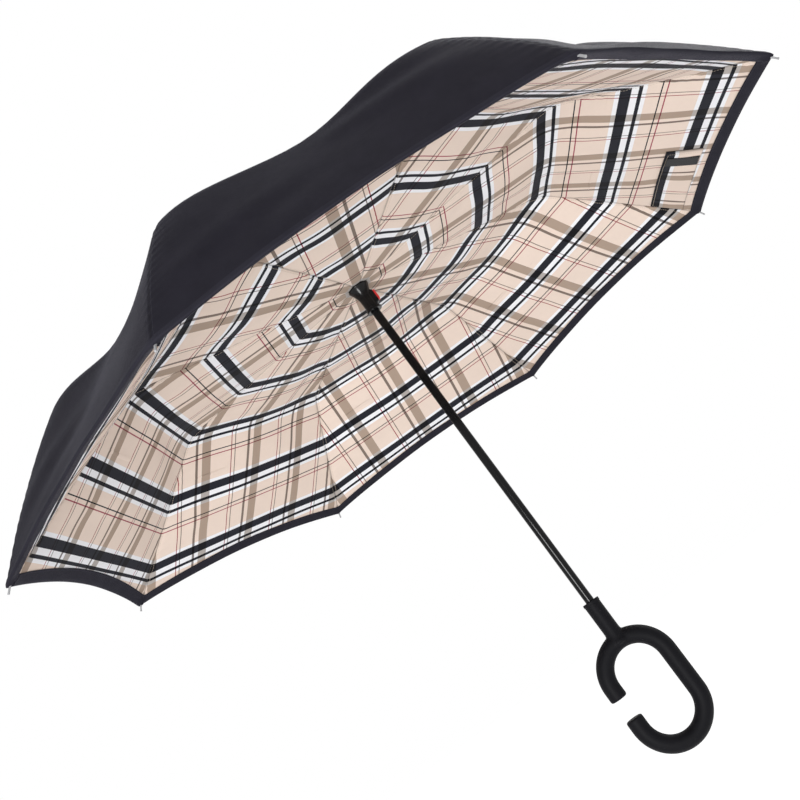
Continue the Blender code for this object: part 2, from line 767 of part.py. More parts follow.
def make_spokes(materials):
    """Eight spokes: each has a rib, an outer rib, a tip, a stretcher and its canopy panels."""
    shift = Matrix.Translation((-rib_pivot[0], 0, -rib_pivot[1]))
    outer_cloth = canopy_mesh(outer_meridian(), outer_sag, outer_puff)
    inner_cloth = canopy_mesh(inner_meridian(), inner_sag, inner_puff)
    for cloth in (outer_cloth, inner_cloth):
        cloth.transform(shift)
    strap = strap_mesh()
    strap.transform(Matrix.Translation((-elbow_end[0], 0, -elbow_end[1])))
    meshes = {"rib": rib_mesh(), "outer_rib": outer_rib_mesh(), "tip": tip_mesh(),
              "stretcher": stretcher_mesh(), "outer_canopy": outer_cloth, "inner_canopy": inner_cloth}
    pivots = {"rib": rib_pivot, "outer_rib": elbow_end, "tip": elbow_end, "stretcher": crown_pivot,
              "outer_canopy": rib_pivot, "inner_canopy": rib_pivot}
    for number, angle in enumerate(spoke_angles, start=1):
        joints = {}
        for kind, mesh in meshes.items():
            pivot = tuple(pivots[kind])
            if pivot not in joints:
                joints[pivot] = spoke_empty("%s_axis_%d" % (kind, number), None, pivot, angle)
            piece = add_mesh("%s_%d" % (kind, number), mesh.copy(), materials[kind], joints[pivot])
            smooth(piece)
        if number == 1:
            smooth(add_mesh("closing_strap", strap, materials["strap"], joints[tuple(elbow_end)]))


def main():
    for thing in list(bpy.data.objects):
        bpy.data.objects.remove(thing)
    black_cloth = finish("black_cloth", (0.016, 0.015, 0.020), 0.85)
    check_cloth = finish("check_cloth", (0.62, 0.50, 0.38), 0.85)
    steel = finish("black_steel", (0.020, 0.020, 0.022), 0.40, 0.6)
    fibre = finish("glass_fibre", (0.030, 0.030, 0.032), 0.45)
    plastic = finish("black_plastic", (0.015, 0.015, 0.016), 0.45)
    rubber = finish("soft_touch_black", (0.012, 0.012, 0.013), 0.65)
    wire = finish("steel_wire", (0.45, 0.45, 0.46), 0.35, 1.0)
    tip_grey = finish("tip_grey", (0.55, 0.55, 0.54), 0.40, 0.5)
    red = finish("red_plastic", (0.55, 0.03, 0.03), 0.40)
    make_shaft(None, steel)
    make_handle(None, rubber)
    cap_top = make_crown(None, plastic, wire, plastic)
    carriage = place_empty("runner_axis", None, runner_pivot_height)
    make_runner(carriage, plastic)
    ring = tube(ring_points(runner_ring_radius), ring_wire_radius, 1, closed=True)
    smooth(add_mesh("runner_wire", ring, wire, carriage))
    press = place_empty("button_axis", carriage, -housing_centre_drop)
    make_button(press, carriage, red, wire)
    make_spokes({"rib": steel, "outer_rib": fibre, "tip": tip_grey, "stretcher": steel,
                 "outer_canopy": black_cloth, "inner_canopy": check_cloth, "strap": check_cloth})
    print("rim corner at radius %.4f and height %.4f; cap top at %.4f" % (*rim_corner, cap_top))
    print("rib joint %.4f m from the runner pivot" % joint_distance)


main()
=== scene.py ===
# %% [markdown]
# # An inverted umbrella, dressed
#
# The umbrella has two cloths. The outer one is plain blue-black, the inner one
# carries a woven-look check. Both are sewn to eight ribs, and a dark hem band
# joins their edges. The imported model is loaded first: it holds the frame's hard
# pieces and the bodies that every new piece rides on.

import math

import bmesh
import bpy
import numpy as np
from mathutils import Matrix, Vector


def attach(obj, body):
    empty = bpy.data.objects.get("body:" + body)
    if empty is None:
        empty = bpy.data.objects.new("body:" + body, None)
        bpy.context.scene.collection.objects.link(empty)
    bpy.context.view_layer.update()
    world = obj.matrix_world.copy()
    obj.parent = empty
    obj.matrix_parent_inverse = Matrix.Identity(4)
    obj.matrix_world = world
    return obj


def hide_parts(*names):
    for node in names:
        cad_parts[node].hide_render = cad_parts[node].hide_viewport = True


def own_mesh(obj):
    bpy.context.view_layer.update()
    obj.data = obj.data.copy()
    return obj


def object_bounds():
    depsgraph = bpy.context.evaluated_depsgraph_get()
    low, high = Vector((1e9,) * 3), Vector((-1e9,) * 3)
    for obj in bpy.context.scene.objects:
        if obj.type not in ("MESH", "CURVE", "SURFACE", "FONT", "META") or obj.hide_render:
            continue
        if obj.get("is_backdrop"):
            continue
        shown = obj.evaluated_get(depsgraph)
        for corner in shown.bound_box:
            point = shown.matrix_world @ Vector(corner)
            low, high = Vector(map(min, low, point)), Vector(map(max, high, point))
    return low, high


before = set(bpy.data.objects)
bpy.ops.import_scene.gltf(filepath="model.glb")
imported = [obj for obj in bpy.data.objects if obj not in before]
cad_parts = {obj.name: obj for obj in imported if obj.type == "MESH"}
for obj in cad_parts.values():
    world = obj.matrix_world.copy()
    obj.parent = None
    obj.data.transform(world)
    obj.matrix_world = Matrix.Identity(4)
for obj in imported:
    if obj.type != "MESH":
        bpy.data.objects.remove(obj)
cad_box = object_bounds()

# %% [markdown]
# ## Where the spokes are
#
# Eight spokes stand 45 degrees apart. A spoke's sizes are the same as in the
# solids, because the cloth has to lie just clear of the ribs. Each line in a
# rib's plane is a list of (radius, height) points, and heights run up the shaft.

# %% Sizes of the spokes
SPOKES = 8
HALF = math.pi / SPOKES
FIRST = math.radians(22.5)
ANGLES = [FIRST + 2 * HALF * k for k in range(SPOKES)]

RUNNER_HEIGHT = 0.6065
CROWN_HEIGHT = 0.7225
RUNNER_RING = 0.0145
CROWN_RISE = 0.0100
FLANGE_HALF = 0.0030
RIB_LENGTH = 0.368
RIB_RISE = math.radians(3)
RIB_DEPTH = 0.0035
ELBOW_RADIUS = 0.040
ELBOW_TURN = math.radians(48)
ROD_SPAN = 0.18732
ROD_DROP = math.radians(49.11)
ROD_BOW = 0.0048
TIP_RADIUS = 0.0025

along_rib = np.array([math.cos(RIB_RISE), math.sin(RIB_RISE)])
above_rib = np.array([-along_rib[1], along_rib[0]])
rib_pivot = np.array([RUNNER_RING, RUNNER_HEIGHT])
elbow_start = rib_pivot + RIB_LENGTH * along_rib
elbow_centre = elbow_start - ELBOW_RADIUS * above_rib
elbow_end = elbow_centre + ELBOW_RADIUS * (
    math.cos(ELBOW_TURN) * above_rib + math.sin(ELBOW_TURN) * along_rib)
along_rod = np.array([math.cos(ROD_DROP), -math.sin(ROD_DROP)])
above_rod = np.array([-along_rod[1], along_rod[0]])
rim_corner = elbow_end + ROD_SPAN * along_rod


def unit(vectors):
    """Vectors scaled to length 1."""
    return vectors / np.linalg.norm(vectors, axis=-1, keepdims=True)


def rod_point(share, lift=0.0):
    """A point on or over the bowed rod: chord + (4 bow s (1 - s) + lift) n, s from 0 to 1."""
    bow = 4 * ROD_BOW * share * (1 - share)
    return elbow_end + share * ROD_SPAN * along_rod + (bow + lift) * above_rod


print("rim corner at radius %.4f, height %.4f" % tuple(rim_corner))

# %% [markdown]
# ## Lines of the two cloths over one rib
#
# A cloth over a rib follows a line in the rib's plane. The outer cloth runs from
# the cap straight to the elbow, round it, and down over the rod. The inner cloth
# runs almost flat from the runner to its knee and then straight to the hem.

# %% Cloth lines
CLOTH_GAP = 0.0018
SEAT_GAP = 0.0008
CAP_RADIUS = 0.0165
OUTER_HOLE, INNER_HOLE = 0.0081, 0.0106
CLAMP_RADIUS = 0.0142
KNEE_RADIUS = 0.3250
KNEE_EASE = 0.018
HEM_BAND = 0.0115


def outer_line():
    """The cap's edge, a straight cone, an arc round the elbow's centre, and the rod's bow
    lifted off the rod."""
    lift = RIB_DEPTH / 2 + CLOTH_GAP
    rod_lift = TIP_RADIUS + CLOTH_GAP
    seat = CROWN_HEIGHT + CROWN_RISE + SEAT_GAP
    knee = elbow_start + lift * above_rib
    edge = np.array([CAP_RADIUS, seat])
    cone = edge + (knee - edge) * np.linspace(0, 1, 24)[:, None]
    turn = ELBOW_TURN * np.linspace(0.12, 1, 24)[:, None]
    over = ELBOW_RADIUS + lift + (rod_lift - lift) * np.linspace(0.3, 1, 24)[:, None]
    bend = elbow_centre + over * (np.cos(turn) * above_rib + np.sin(turn) * along_rib)
    rod = rod_point(np.linspace(0, 1, 48)[1:, None], rod_lift)
    return np.concatenate([[(OUTER_HOLE, seat)], cone, bend, rod])


def inner_line():
    """Straight pieces from the runner's clamp to the knee and from the knee to the hem,
    with the knee rounded by a quadratic curve between points 18 mm either side."""
    start = RUNNER_HEIGHT - FLANGE_HALF - SEAT_GAP
    clamp = np.array([CLAMP_RADIUS, start])
    knee = np.array([KNEE_RADIUS, RUNNER_HEIGHT])
    hem = rim_corner + (knee - rim_corner) * HEM_BAND / np.linalg.norm(knee - rim_corner)
    before = knee + (clamp - knee) * KNEE_EASE / np.linalg.norm(clamp - knee)
    after = knee + (hem - knee) * KNEE_EASE / np.linalg.norm(hem - knee)
    flat = clamp + (before - clamp) * np.linspace(0, 1, 20)[:, None]
    t = np.linspace(0, 1, 17)[1:-1, None]
    bend = (1 - t) ** 2 * before + 2 * t * (1 - t) * knee + t ** 2 * after
    skirt = after + (hem - after) * np.linspace(0, 1, 16)[:, None]
    return np.concatenate([[(INNER_HOLE, start)], flat, bend, skirt])


def lengths(line):
    """Distance along a line at each of its points."""
    return np.concatenate([[0], np.cumsum(np.linalg.norm(np.diff(line, axis=0), axis=1))])


def on_line(line, distance):
    """The points of a line at given distances along it."""
    total = lengths(line)
    return np.stack([np.interp(distance, total, line[:, axis]) for axis in (0, 1)], axis=-1)


outer_cloth = outer_line()
inner_cloth = inner_line()
print("outer line %.3f m, inner line %.3f m" % (lengths(outer_cloth)[-1], lengths(inner_cloth)[-1]))

# %% [markdown]
# ## The surface between two ribs
#
# A panel is cut flat and sewn to two ribs. Its threads run straight from rib to
# rib, so each row of a panel is a chord. Tension draws its middle in, the cloth
# stands a little proud right beside a rib, and the hem is cut back to a curve.
# Beside each seam the thread pulls small puckers, and long shallow folds run out
# from the elbow. No two panels are pulled quite alike, so each has its own rise of
# the hem and its own slack. One section of cloth is made here: from panel middle to
# panel middle, with its rib in the centre.

# %% Surface of one section
HEM_RISE = np.array([0.0135, 0.0135, 0.0145, 0.0185, 0.0180, 0.0180, 0.0180, 0.0075])
SLACK = np.array([1.0, 1.0, 1.0, 1.0, 1.20, 0.65, 1.0, 1.0])
PUFF = np.ones((SPOKES, 2))
PUFF[5, 0], PUFF[6], PUFF[7, 0] = -0.8, (0.6, 0.4), 0.4
SIN, COS = math.sin(HALF), math.cos(HALF)
chord = np.array([-SIN, COS, 0.0])
middle = np.array([COS, SIN, 0.0])
OUTER_FORM = {"sag": 0.0170, "puff": 0.0080, "fold": 0.0010, "pucker": 0.00045,
              "seam": 0.0010, "lift": 0.0}
INNER_FORM = {"sag": 0.0060, "puff": 0.0, "fold": 0.0007, "pucker": -0.0006,
              "seam": -0.0016, "lift": 0.40}


def section(line, rows, across, rib, sag, puff, fold, pucker, seam, lift, end=None):
    """A grid of points over one rib at azimuth 0. across s runs from -1 to 1, and rows
    are distances d along the rib's line, q = d / end. Rib k lies between the panels
    k - 1 and k, which give the rise and the slack of its two sides.

    A row's distance shrinks by rise s (2 - s) q^3. It gives a radius r and a height. The
    point is r cos m - r sin (1 - s) c, with m and c the panel's middle and its chord.
    It moves inward by (sag s^2 (3 - 2 s) - puff 27/4 s (1 - s)^2) sin(pi q^1.3), by
    fold 4 s (1 - s) sin(d / 24 mm + 5 s + wobble), by seam exp(-(y / 2.2 mm)^2), by
    -lift rise s (2 - s) ((q - 0.6) / 0.4)^2, and by pucker sin(d / 2.1 mm + wobble)
    exp(-y / 9 mm) (1 - exp(-y / 2 mm)), with y the distance from the seam.
    Gives the points, the flat coordinates u and v of the cut panel, and y."""
    end = end or lengths(line)[-1]
    s = np.abs(across)[None, :]
    q = np.clip(rows / end, 0, 1)[:, None]
    panel = np.where(across < 0, (rib - 2) % SPOKES, rib - 1)
    rise = HEM_RISE[panel][None, :] * s * (2 - s)
    sag = sag * SLACK[panel][None, :]
    puff = puff * PUFF[rib - 1][(across > 0).astype(int)][None, :]
    d = rows[:, None] - rise * q ** 3
    ring = on_line(line, d)
    ahead = unit(on_line(line, np.minimum(d + 0.002, end)) - on_line(line, d - 0.002))
    radius = ring[:, :, 0]
    y = radius * SIN * s
    wobble = 1.7 * np.sin(rows[:, None] * 31.0 + 2.0 * np.sign(across)[None, :])
    grown = np.clip(4 * q - 0.4, 0, 1)
    hang = sag * s ** 2 * (3 - 2 * s) - puff * 27 / 4 * s * (1 - s) ** 2
    inward = hang * np.sin(math.pi * q ** 1.3)
    wave = np.sin(rows[:, None] / 0.024 + 5 * s + wobble)
    inward = inward + fold * wave * 4 * s * (1 - s) * grown
    inward = inward + seam * np.exp(-((y / 0.0022) ** 2)) * np.clip(q * 8, 0, 1)
    inward = inward - lift * rise * np.clip((q - 0.6) / 0.4, 0, 1) ** 2
    ripple = np.sin(rows[:, None] / 0.0021 + wobble) * np.exp(-y / 0.009) * (1 - np.exp(-y / 0.002))
    inward = inward + pucker * ripple * grown
    u = radius * SIN * (1 - s)
    points = (radius * COS)[:, :, None] * middle - u[:, :, None] * chord
    lean = np.array([1.0, 0, 0]) + (middle - np.array([1.0, 0, 0])) * s[:, :, None]
    points = points + (inward * ahead[:, :, 1])[:, :, None] * lean
    points[:, :, 2] = ring[:, :, 1] - inward * ahead[:, :, 0]
    points[:, :, 1] *= np.where(across < 0, -1, 1)[None, :]
    total = lengths(line)
    slant = np.sqrt(np.maximum(np.diff(total) ** 2 - (SIN * np.diff(line[:, 0])) ** 2, 0))
    v = np.interp(d, total, np.concatenate([[0], np.cumsum(slant)]))
    return points, u, v, y


half_across = np.concatenate([[0, 0.004], 0.012 + 0.988 * np.linspace(0, 1, 15) ** 1.5])
ACROSS = np.concatenate([-half_across[:0:-1], half_across])
SEAM_COLUMN = len(half_across) - 1
print("columns over a section:", len(ACROSS))

# %% [markdown]
# ## From a grid of points to a sheet with two sides
#
# Cloth has a thickness, so each grid becomes a closed sheet: an upper and a lower
# copy of the grid, joined along their edges. Light should pass smoothly over the
# places where two sections meet, so the surface's own normals are kept in the mesh
# instead of the ones Blender would average from the faces.

# %% Sheets
CLOTH_THICKNESS = 0.0005


def grid_normals(points, mirrored):
    """Unit normals n = (dP/drow) x (dP/dcolumn), from central differences.
    On a panel's middle the part of n along the panel's chord is dropped, because the
    next section is this one's mirror image there."""
    normal = np.cross(np.gradient(points, axis=0), np.gradient(points, axis=1))
    if mirrored:
        for column, side in ((0, -1), (-1, 1)):
            across = chord * np.array([1, side, 1])
            normal[:, column] -= (normal[:, column] @ across)[:, None] * across
    return unit(normal)


def sheet_faces(rows, columns):
    """Corner numbers of the upper faces, the lower faces and the rim of a two-sided grid."""
    number = np.arange(rows * columns).reshape(rows, columns)
    upper = np.stack([number[:-1, :-1], number[1:, :-1], number[1:, 1:], number[:-1, 1:]], axis=2)
    upper = upper.reshape(-1, 4)
    under = upper[:, ::-1] + rows * columns
    first = np.concatenate([number[:-1, 0], number[-1, :-1], number[:0:-1, -1], number[0, :0:-1]])
    after = np.concatenate([number[1:, 0], number[-1, 1:], number[-2::-1, -1], number[0, -2::-1]])
    rim = np.stack([after, first, first + rows * columns, after + rows * columns], axis=1)
    return np.concatenate([upper, under, rim])


def sheet_mesh(name, points, normals, u, v, y, thickness, seam_column=None, turn=0.0):
    """A closed sheet: P + n t / 2 above, P - n t / 2 below, turned about the shaft.
    The map "cut" holds the panel's flat coordinates in metres. Left of the seam column
    u counts from the panel's middle forwards, right of it backwards. The attribute
    "seam" is the distance y from the nearest seam."""
    rows, columns = points.shape[:2]
    top = (points + normals * thickness / 2).reshape(-1, 3)
    low = (points - normals * thickness / 2).reshape(-1, 3)
    place = np.array(Matrix.Rotation(turn, 3, "Z"))
    places = np.concatenate([top, low]) @ place.T
    faces = sheet_faces(rows, columns)
    mesh = bpy.data.meshes.new(name)
    mesh.from_pydata(places, [], faces.tolist())
    flat = np.stack([u.reshape(-1), v.reshape(-1)], axis=1)
    corners = np.concatenate([flat, flat])[faces]
    if seam_column is not None:
        column = (faces % (rows * columns)) % columns
        forwards = column.mean(axis=1) < seam_column
        corners[:, :, 0] *= np.where(forwards, 1, -1)[:, None]
    layer = mesh.uv_layers.new(name="cut")
    layer.data.foreach_set("uv", corners.astype(np.float32).reshape(-1))
    beside = mesh.attributes.new("seam", "FLOAT", "POINT")
    beside.data.foreach_set("value", np.concatenate([y.reshape(-1)] * 2).astype(np.float32))
    mesh.shade_smooth()
    facing = np.concatenate([normals.reshape(-1, 3), -normals.reshape(-1, 3)]) @ place.T
    mesh.normals_split_custom_set_from_vertices(facing)
    return mesh


def show(name, mesh, material):
    """An object for a finished mesh, at the origin."""
    piece = bpy.data.objects.new(name, mesh)
    bpy.context.scene.collection.objects.link(piece)
    mesh.materials.append(material)
    return piece


def show_sheet(name, grid, material, angle, thickness=CLOTH_THICKNESS, seam_column=None):
    """An object for a sheet over a grid of points, normals, u, v and y."""
    return show(name, sheet_mesh(name, *grid, thickness, seam_column, angle), material)


def flat_area(u, v):
    """Area of a piece's flat pattern: half the cross product of each cell's diagonals."""
    a = np.stack([u[1:, 1:] - u[:-1, :-1], v[1:, 1:] - v[:-1, :-1]])
    b = np.stack([u[1:, :-1] - u[:-1, 1:], v[1:, :-1] - v[:-1, 1:]])
    return float(np.abs(a[0] * b[1] - a[1] * b[0]).sum() / 2)

# %% [markdown]
# ## Mixing a finish
#
# A material is a small graph of nodes. Writing it as arithmetic keeps it readable:
# a Value wraps one socket, and + - * / on it add the Math nodes. Every other node
# comes from Paint.add, which takes the node's settings first and then its sockets.

# %% Values and paints
def operator(operation):
    """A method that joins a value and another by one Math node."""
    return lambda value, other: value.math(operation, other)


class Value:
    """One socket in a paint's graph, with Python's arithmetic."""

    def __init__(self, paint, socket):
        self.paint, self.socket = paint, socket

    def math(self, operation, *others, clamp=False):
        settings = {"operation": operation, "use_clamp": clamp}
        return self.paint.add("ShaderNodeMath", settings, dict(enumerate((self,) + others)))

    __add__ = __radd__ = operator("ADD")
    __sub__ = operator("SUBTRACT")
    __mul__ = __rmul__ = operator("MULTIPLY")
    __truediv__ = operator("DIVIDE")
    __mod__ = operator("FLOORED_MODULO")

    def __rsub__(self, other):
        return self.paint.add("ShaderNodeMath", {"operation": "SUBTRACT"}, {0: other, 1: self})


class Paint:
    """A material being mixed."""

    def __init__(self, name):
        self.material = bpy.data.materials.new(name)
        self.material.use_nodes = True
        self.tree = self.material.node_tree
        self.tree.nodes.clear()

    def add(self, kind, settings=None, sockets=None, out=0):
        node = self.tree.nodes.new(kind)
        for key, value in (settings or {}).items():
            if key == "stops":
                place_stops(node.color_ramp, value)
            else:
                setattr(node, key, value)
        for key, value in (sockets or {}).items():
            if isinstance(value, Value):
                self.tree.links.new(value.socket, node.inputs[key])
            else:
                node.inputs[key].default_value = value
        return Value(self, node.outputs[out])

    def mix(self, factor, low, high, blend="MIX"):
        """A colour between two colours: low + factor (high - low), or another blend of them."""
        colours = {"data_type": "RGBA", "blend_type": blend}
        low, high = [x if isinstance(x, Value) else (*x, 1.0) for x in (low, high)]
        return self.add("ShaderNodeMix", colours, {0: factor, 6: low, 7: high}, 2)

    def place(self):
        """Where a point lies, in metres."""
        return self.add("ShaderNodeTexCoord", {}, {}, 3)

    def cut_panel(self):
        """A cut panel's flat coordinates u and v, and the distance from its seam."""
        cut = self.add("ShaderNodeUVMap", {"uv_map": "cut"})
        u, v = [self.add("ShaderNodeSeparateXYZ", {}, {0: cut}, out) for out in (0, 1)]
        return u, v, self.add("ShaderNodeAttribute", {"attribute_name": "seam"}, {}, 2)

    def grey(self, tone):
        """A colour whose three parts are one value."""
        return self.add("ShaderNodeCombineColor", {}, {0: tone, 1: tone, 2: tone})

    def noise(self, place, scale, detail=3.0, rough=0.55):
        """Noise from 0 to 1, with scale waves to the metre."""
        sockets = {"Vector": place, "Scale": scale, "Detail": detail, "Roughness": rough}
        return self.add("ShaderNodeTexNoise", {}, sockets)

    def bump(self, height, distance, strength=1.0, under=None):
        """A normal bent by a height map that is distance metres deep."""
        sockets = {"Height": height, "Distance": distance, "Strength": strength}
        if under is not None:
            sockets["Normal"] = under
        return self.add("ShaderNodeBump", {}, sockets)

    def finish(self, **sockets):
        """The surface's shader, with its sockets by name, and the output."""
        named = {key.replace("_", " "): value for key, value in sockets.items()}
        for key in named:
            if isinstance(named[key], tuple) and len(named[key]) == 3:
                named[key] = (*named[key], 1.0)
        shader = self.add("ShaderNodeBsdfPrincipled", {}, named)
        output = self.tree.nodes.new("ShaderNodeOutputMaterial")
        self.tree.links.new(shader.socket, output.inputs["Surface"])
        return self.material


def place_stops(ramp, stops):
    """Stops are (position, colour). The colour holds until the next stop."""
    ramp.interpolation = "CONSTANT"
    while len(ramp.elements) > 1:
        ramp.elements.remove(ramp.elements[-1])
    ramp.elements[0].position = stops[0][0]
    ramp.elements[0].color = (*stops[0][1], 1.0)
    for position, colour in stops[1:]:
        ramp.elements.new(position).color = (*colour, 1.0)


def near(value, centre, half, soft):
    """1 within half of the centre, and 0 beyond half + soft."""
    return ((half - (value - centre).math("ABSOLUTE")) / soft + 1.0).math("ADD", 0.0, clamp=True)


def stitches(beside, at, half, along, pitch, dash):
    """A row of stitches: a line at a distance beside, dashed by its pitch along."""
    return near(beside, at, half, 0.0002) * near((along / pitch) % 1.0, 0.5, dash, 0.1)


print("paint ready")

# %% [markdown]
# ## The checked cloth
#
# A check is two sets of coloured threads. Each set is a list of stripes that
# repeats, and each thread tints a white ground: where two stripes cross, the tints
# multiply and the crossing is darkest. This check is a plain one of its own. Round
# the umbrella run a broad charcoal band and a narrow one on white, then a pencil line
# and a fine burgundy one. Across them run a broad and a narrow taupe stripe, and again
# two fine lines. The map "cut" makes the check follow each panel.

# %% Checked cloth
WHITE_CLOTH, CLEAR = (0.86, 0.86, 0.89), (1.0, 1.0, 1.0)
TAN, CHARCOAL, BURGUNDY = (0.935, 0.775, 0.650), (0.022, 0.023, 0.030), (0.40, 0.08, 0.11)
TAUPE, SLATE = (0.50, 0.46, 0.42), (0.26, 0.24, 0.23)
ROUND = [(5, CLEAR), (13, CHARCOAL), (8, CLEAR), (4.5, CHARCOAL), (5, CLEAR), (16, TAN),
         (1.5, CHARCOAL), (5, TAN), (1.5, BURGUNDY), (38, TAN)]
ACROSS_IT = [(15, TAUPE), (7, CLEAR), (4.5, SLATE), (22, CLEAR), (1.4, SLATE), (5, CLEAR),
             (1.4, BURGUNDY), (36, CLEAR)]
CHECK_FROM_HEM = 0.0440
STITCH_PITCH = 0.0032

inner_end = lengths(inner_cloth)[-1]
hem_row = section(inner_cloth, np.array([inner_end]), np.array([0.0, 0.5]), 1, **INNER_FORM)
CHECK_START = float(hem_row[2][0, 1]) - CHECK_FROM_HEM
print("the last charcoal stripes start %.3f m along the panel" % CHECK_START)


def stripes(paint, place, threads, start):
    """The tint of a set of stripes, widths in millimetres, laid side by side from start."""
    widths = np.array([width for width, _ in threads])
    total = widths.sum()
    edges = np.concatenate([[0], np.cumsum(widths)[:-1]]) / total
    turn = ((place - start) / float(total / 1000)) % 1.0
    stops = [(float(edge), tint) for edge, (_, tint) in zip(edges, threads)]
    return paint.add("ShaderNodeValToRGB", {"stops": stops}, {"Fac": turn})


def checked_cloth(name, u_start, v_start):
    """White cloth x the tint of the stripes round x the tint of the stripes across."""
    paint = Paint(name)
    u, v, seam = paint.cut_panel()
    place = paint.place()
    across_it, round_it = stripes(paint, u, ACROSS_IT, u_start), stripes(paint, v, ROUND, v_start)
    cloth = paint.mix(1.0, across_it, round_it, "MULTIPLY")
    cloth = paint.mix(1.0, cloth, WHITE_CLOTH, "MULTIPLY")
    twill = ((u + v) / 0.0016) % 1.0
    shade = 0.955 + 0.06 * twill.math("PINGPONG", 0.5) * 2.0
    shade = shade + 0.05 * (paint.noise(place, 160.0) - 0.5)
    # Painted shade: the colour is darkened by up to 0.45 within about 2 mm of a seam, and of a
    # strap's edge.
    painted_seam_shade = 1.0 - near(seam, 0.0, 0.0004, 0.0016) * 0.45
    cloth = paint.mix(1.0, cloth, paint.grey(shade * painted_seam_shade), "MULTIPLY")
    stitch = stitches(seam, 0.0030, 0.00025, v, STITCH_PITCH, 0.30)
    cloth = paint.mix(stitch * 0.6, cloth, (0.50, 0.42, 0.33))
    weave = (u / 0.00012).math("SINE") * (v / 0.00012).math("SINE")
    normal = paint.bump(weave, 0.00006, 0.35)
    normal = paint.bump(stitch, 0.0003, 0.8, normal)
    rough = 0.72 + 0.12 * paint.noise(place, 220.0)
    return paint.finish(Base_Color=cloth, Roughness=rough, Normal=normal, Sheen_Weight=0.03,
                        Sheen_Roughness=0.5, Specular_IOR_Level=0.05)


check = checked_cloth("checked_cloth", -0.0060, CHECK_START)
strap_check = checked_cloth("checked_cloth_strap", 0.0980, 0.0340)
repeats = [sum(width for width, _ in threads) for threads in (ACROSS_IT, ROUND)]
print("check repeats every %.1f mm by %.1f mm" % tuple(repeats))

# %% [markdown]
# ## The black cloths
#
# The outer cloth is a close plain weave in blue-black: matt face on, with a grey
# sheen where it is seen along its surface. The hem binding is a ribbed tape of the
# same colour, with a row of stitches near its inner edge.

# %% Black cloths
def black_cloth(name, colour, ribs, stitch_at):
    """Noise varies the colour from 0.8 to 1.35 times, and sines make the weave. Stitches run
    along the seam, or at a distance v where stitch_at gives one."""
    paint = Paint(name)
    u, v, seam = paint.cut_panel()
    place = paint.place()
    cloudy = paint.noise(place, 35.0, 4.0)
    # The share 0.4 gives the colour of a painted shade at the seams.
    low, high, seam_shade_colour, thread = [tuple(share * part for part in colour)
                                    for share in (0.8, 1.35, 0.4, 1.6)]
    cloth = paint.mix(cloudy, low, high)
    # Painted shade: within about 2 mm of a seam the colour is mixed halfway towards 0.4 times
    # itself.
    cloth = paint.mix(near(seam, 0.0, 0.0005, 0.0015) * 0.5, cloth, seam_shade_colour)
    if stitch_at is None:
        line = stitches(seam, 0.0035, 0.00025, v, STITCH_PITCH, 0.30)
    else:
        line = stitches(v, stitch_at, 0.0003, u, 0.0034, 0.32)
    cloth = paint.mix(line * 0.6, cloth, thread)
    weave = (u / ribs).math("SINE") * (1.0 if stitch_at is not None else (v / ribs).math("SINE"))
    normal = paint.bump(weave, 0.00008 if stitch_at is None else 0.00016, 0.35)
    normal = paint.bump(line, 0.0003, 0.8, normal)
    rough = 0.52 + 0.14 * paint.noise(place, 180.0)
    return paint.finish(Base_Color=cloth, Roughness=rough, Normal=normal, Sheen_Weight=0.07,
                        Sheen_Roughness=0.20, Sheen_Tint=(0.78, 0.78, 0.95),
                        Specular_IOR_Level=0.012)


blue_black = black_cloth("blue_black_cloth", (0.0165, 0.0155, 0.0215), 0.00012, None)
binding = black_cloth("ribbed_binding", (0.0220, 0.0210, 0.0285), 0.00022, 0.0022)
print("black cloths ready")

# %% [markdown]
# ## Sewing the two canopies
#
# Each section is cut across where the umbrella folds. The outer cloth parts beside the stretcher's
# joint and at the elbow, the inner cloth just past its knee. When the runner goes down, each piece
# should close up towards its rib. The rims hang at a slope, so they are cut along the rib too, and
# each half's axis for closing leans with its slope. Here the axes are only worked out; nothing
# squashes the pieces. A hidden pleat keeps the check whole at the elbow.

# %% The canopies' pieces
PITCH = 0.0032
SHOULDER_RADIUS = 0.2650
ELBOW_CLOTH_RADIUS = float(elbow_end[0] + (TIP_RADIUS + CLOTH_GAP) * above_rod[0])
INNER_SPLIT = 0.3837
PLEAT_REACH = 0.0520
PLEAT_AHEAD = np.array([[0.9914, -0.1309]])
SKIRT_KEEP = 0.26


def cloth_grid(line, low, high, form, rib, end=None):
    """A section's grid for rows from low to high, with normals worked out on a grid one
    row longer at each end that lies on the line."""
    last_row = lengths(line)[-1]
    count = max(int(round((high - low) / PITCH)), 3)
    rows = np.linspace(low, high, count + 1)
    first, last = (1 if low > 0.001 else 0), (1 if high < last_row - 0.001 else 0)
    longer = np.concatenate([[low - PITCH] * first, rows, [high + PITCH] * last])
    points, u, v, y = section(line, longer, ACROSS, rib, end=end, **form)
    normals = grid_normals(points, True)
    keep = slice(first, len(longer) - last)
    return points[keep], normals[keep], u[keep], v[keep], y[keep]


def distance_at(line, radius):
    """How far along a line its radius is reached."""
    return float(np.interp(radius, line[:, 0], lengths(line)))


def fold(piece, number, angle, side, keep, slope, lean, aside, anchor):
    """Works out how a piece would close towards its rib, and gives it its own mesh; the piece is
    not moved or squashed. side is 1 or -1 for a half, 0 for a whole piece. A half's axis is
    cos(lean) tangent + sin(lean) n, with n square to the rib's slope."""
    tangent = np.array([-math.sin(angle), math.cos(angle), 0.0])
    radial = np.array([math.cos(angle), math.sin(angle), 0.0])
    upright = math.sin(slope) * radial + math.cos(slope) * np.array([0.0, 0.0, 1.0])
    axis = tangent if side == 0 else side * math.cos(lean) * tangent + math.sin(lean) * upright
    place = anchor[0] * radial + np.array([0, 0, anchor[1]]) + aside * tangent
    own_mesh(piece)


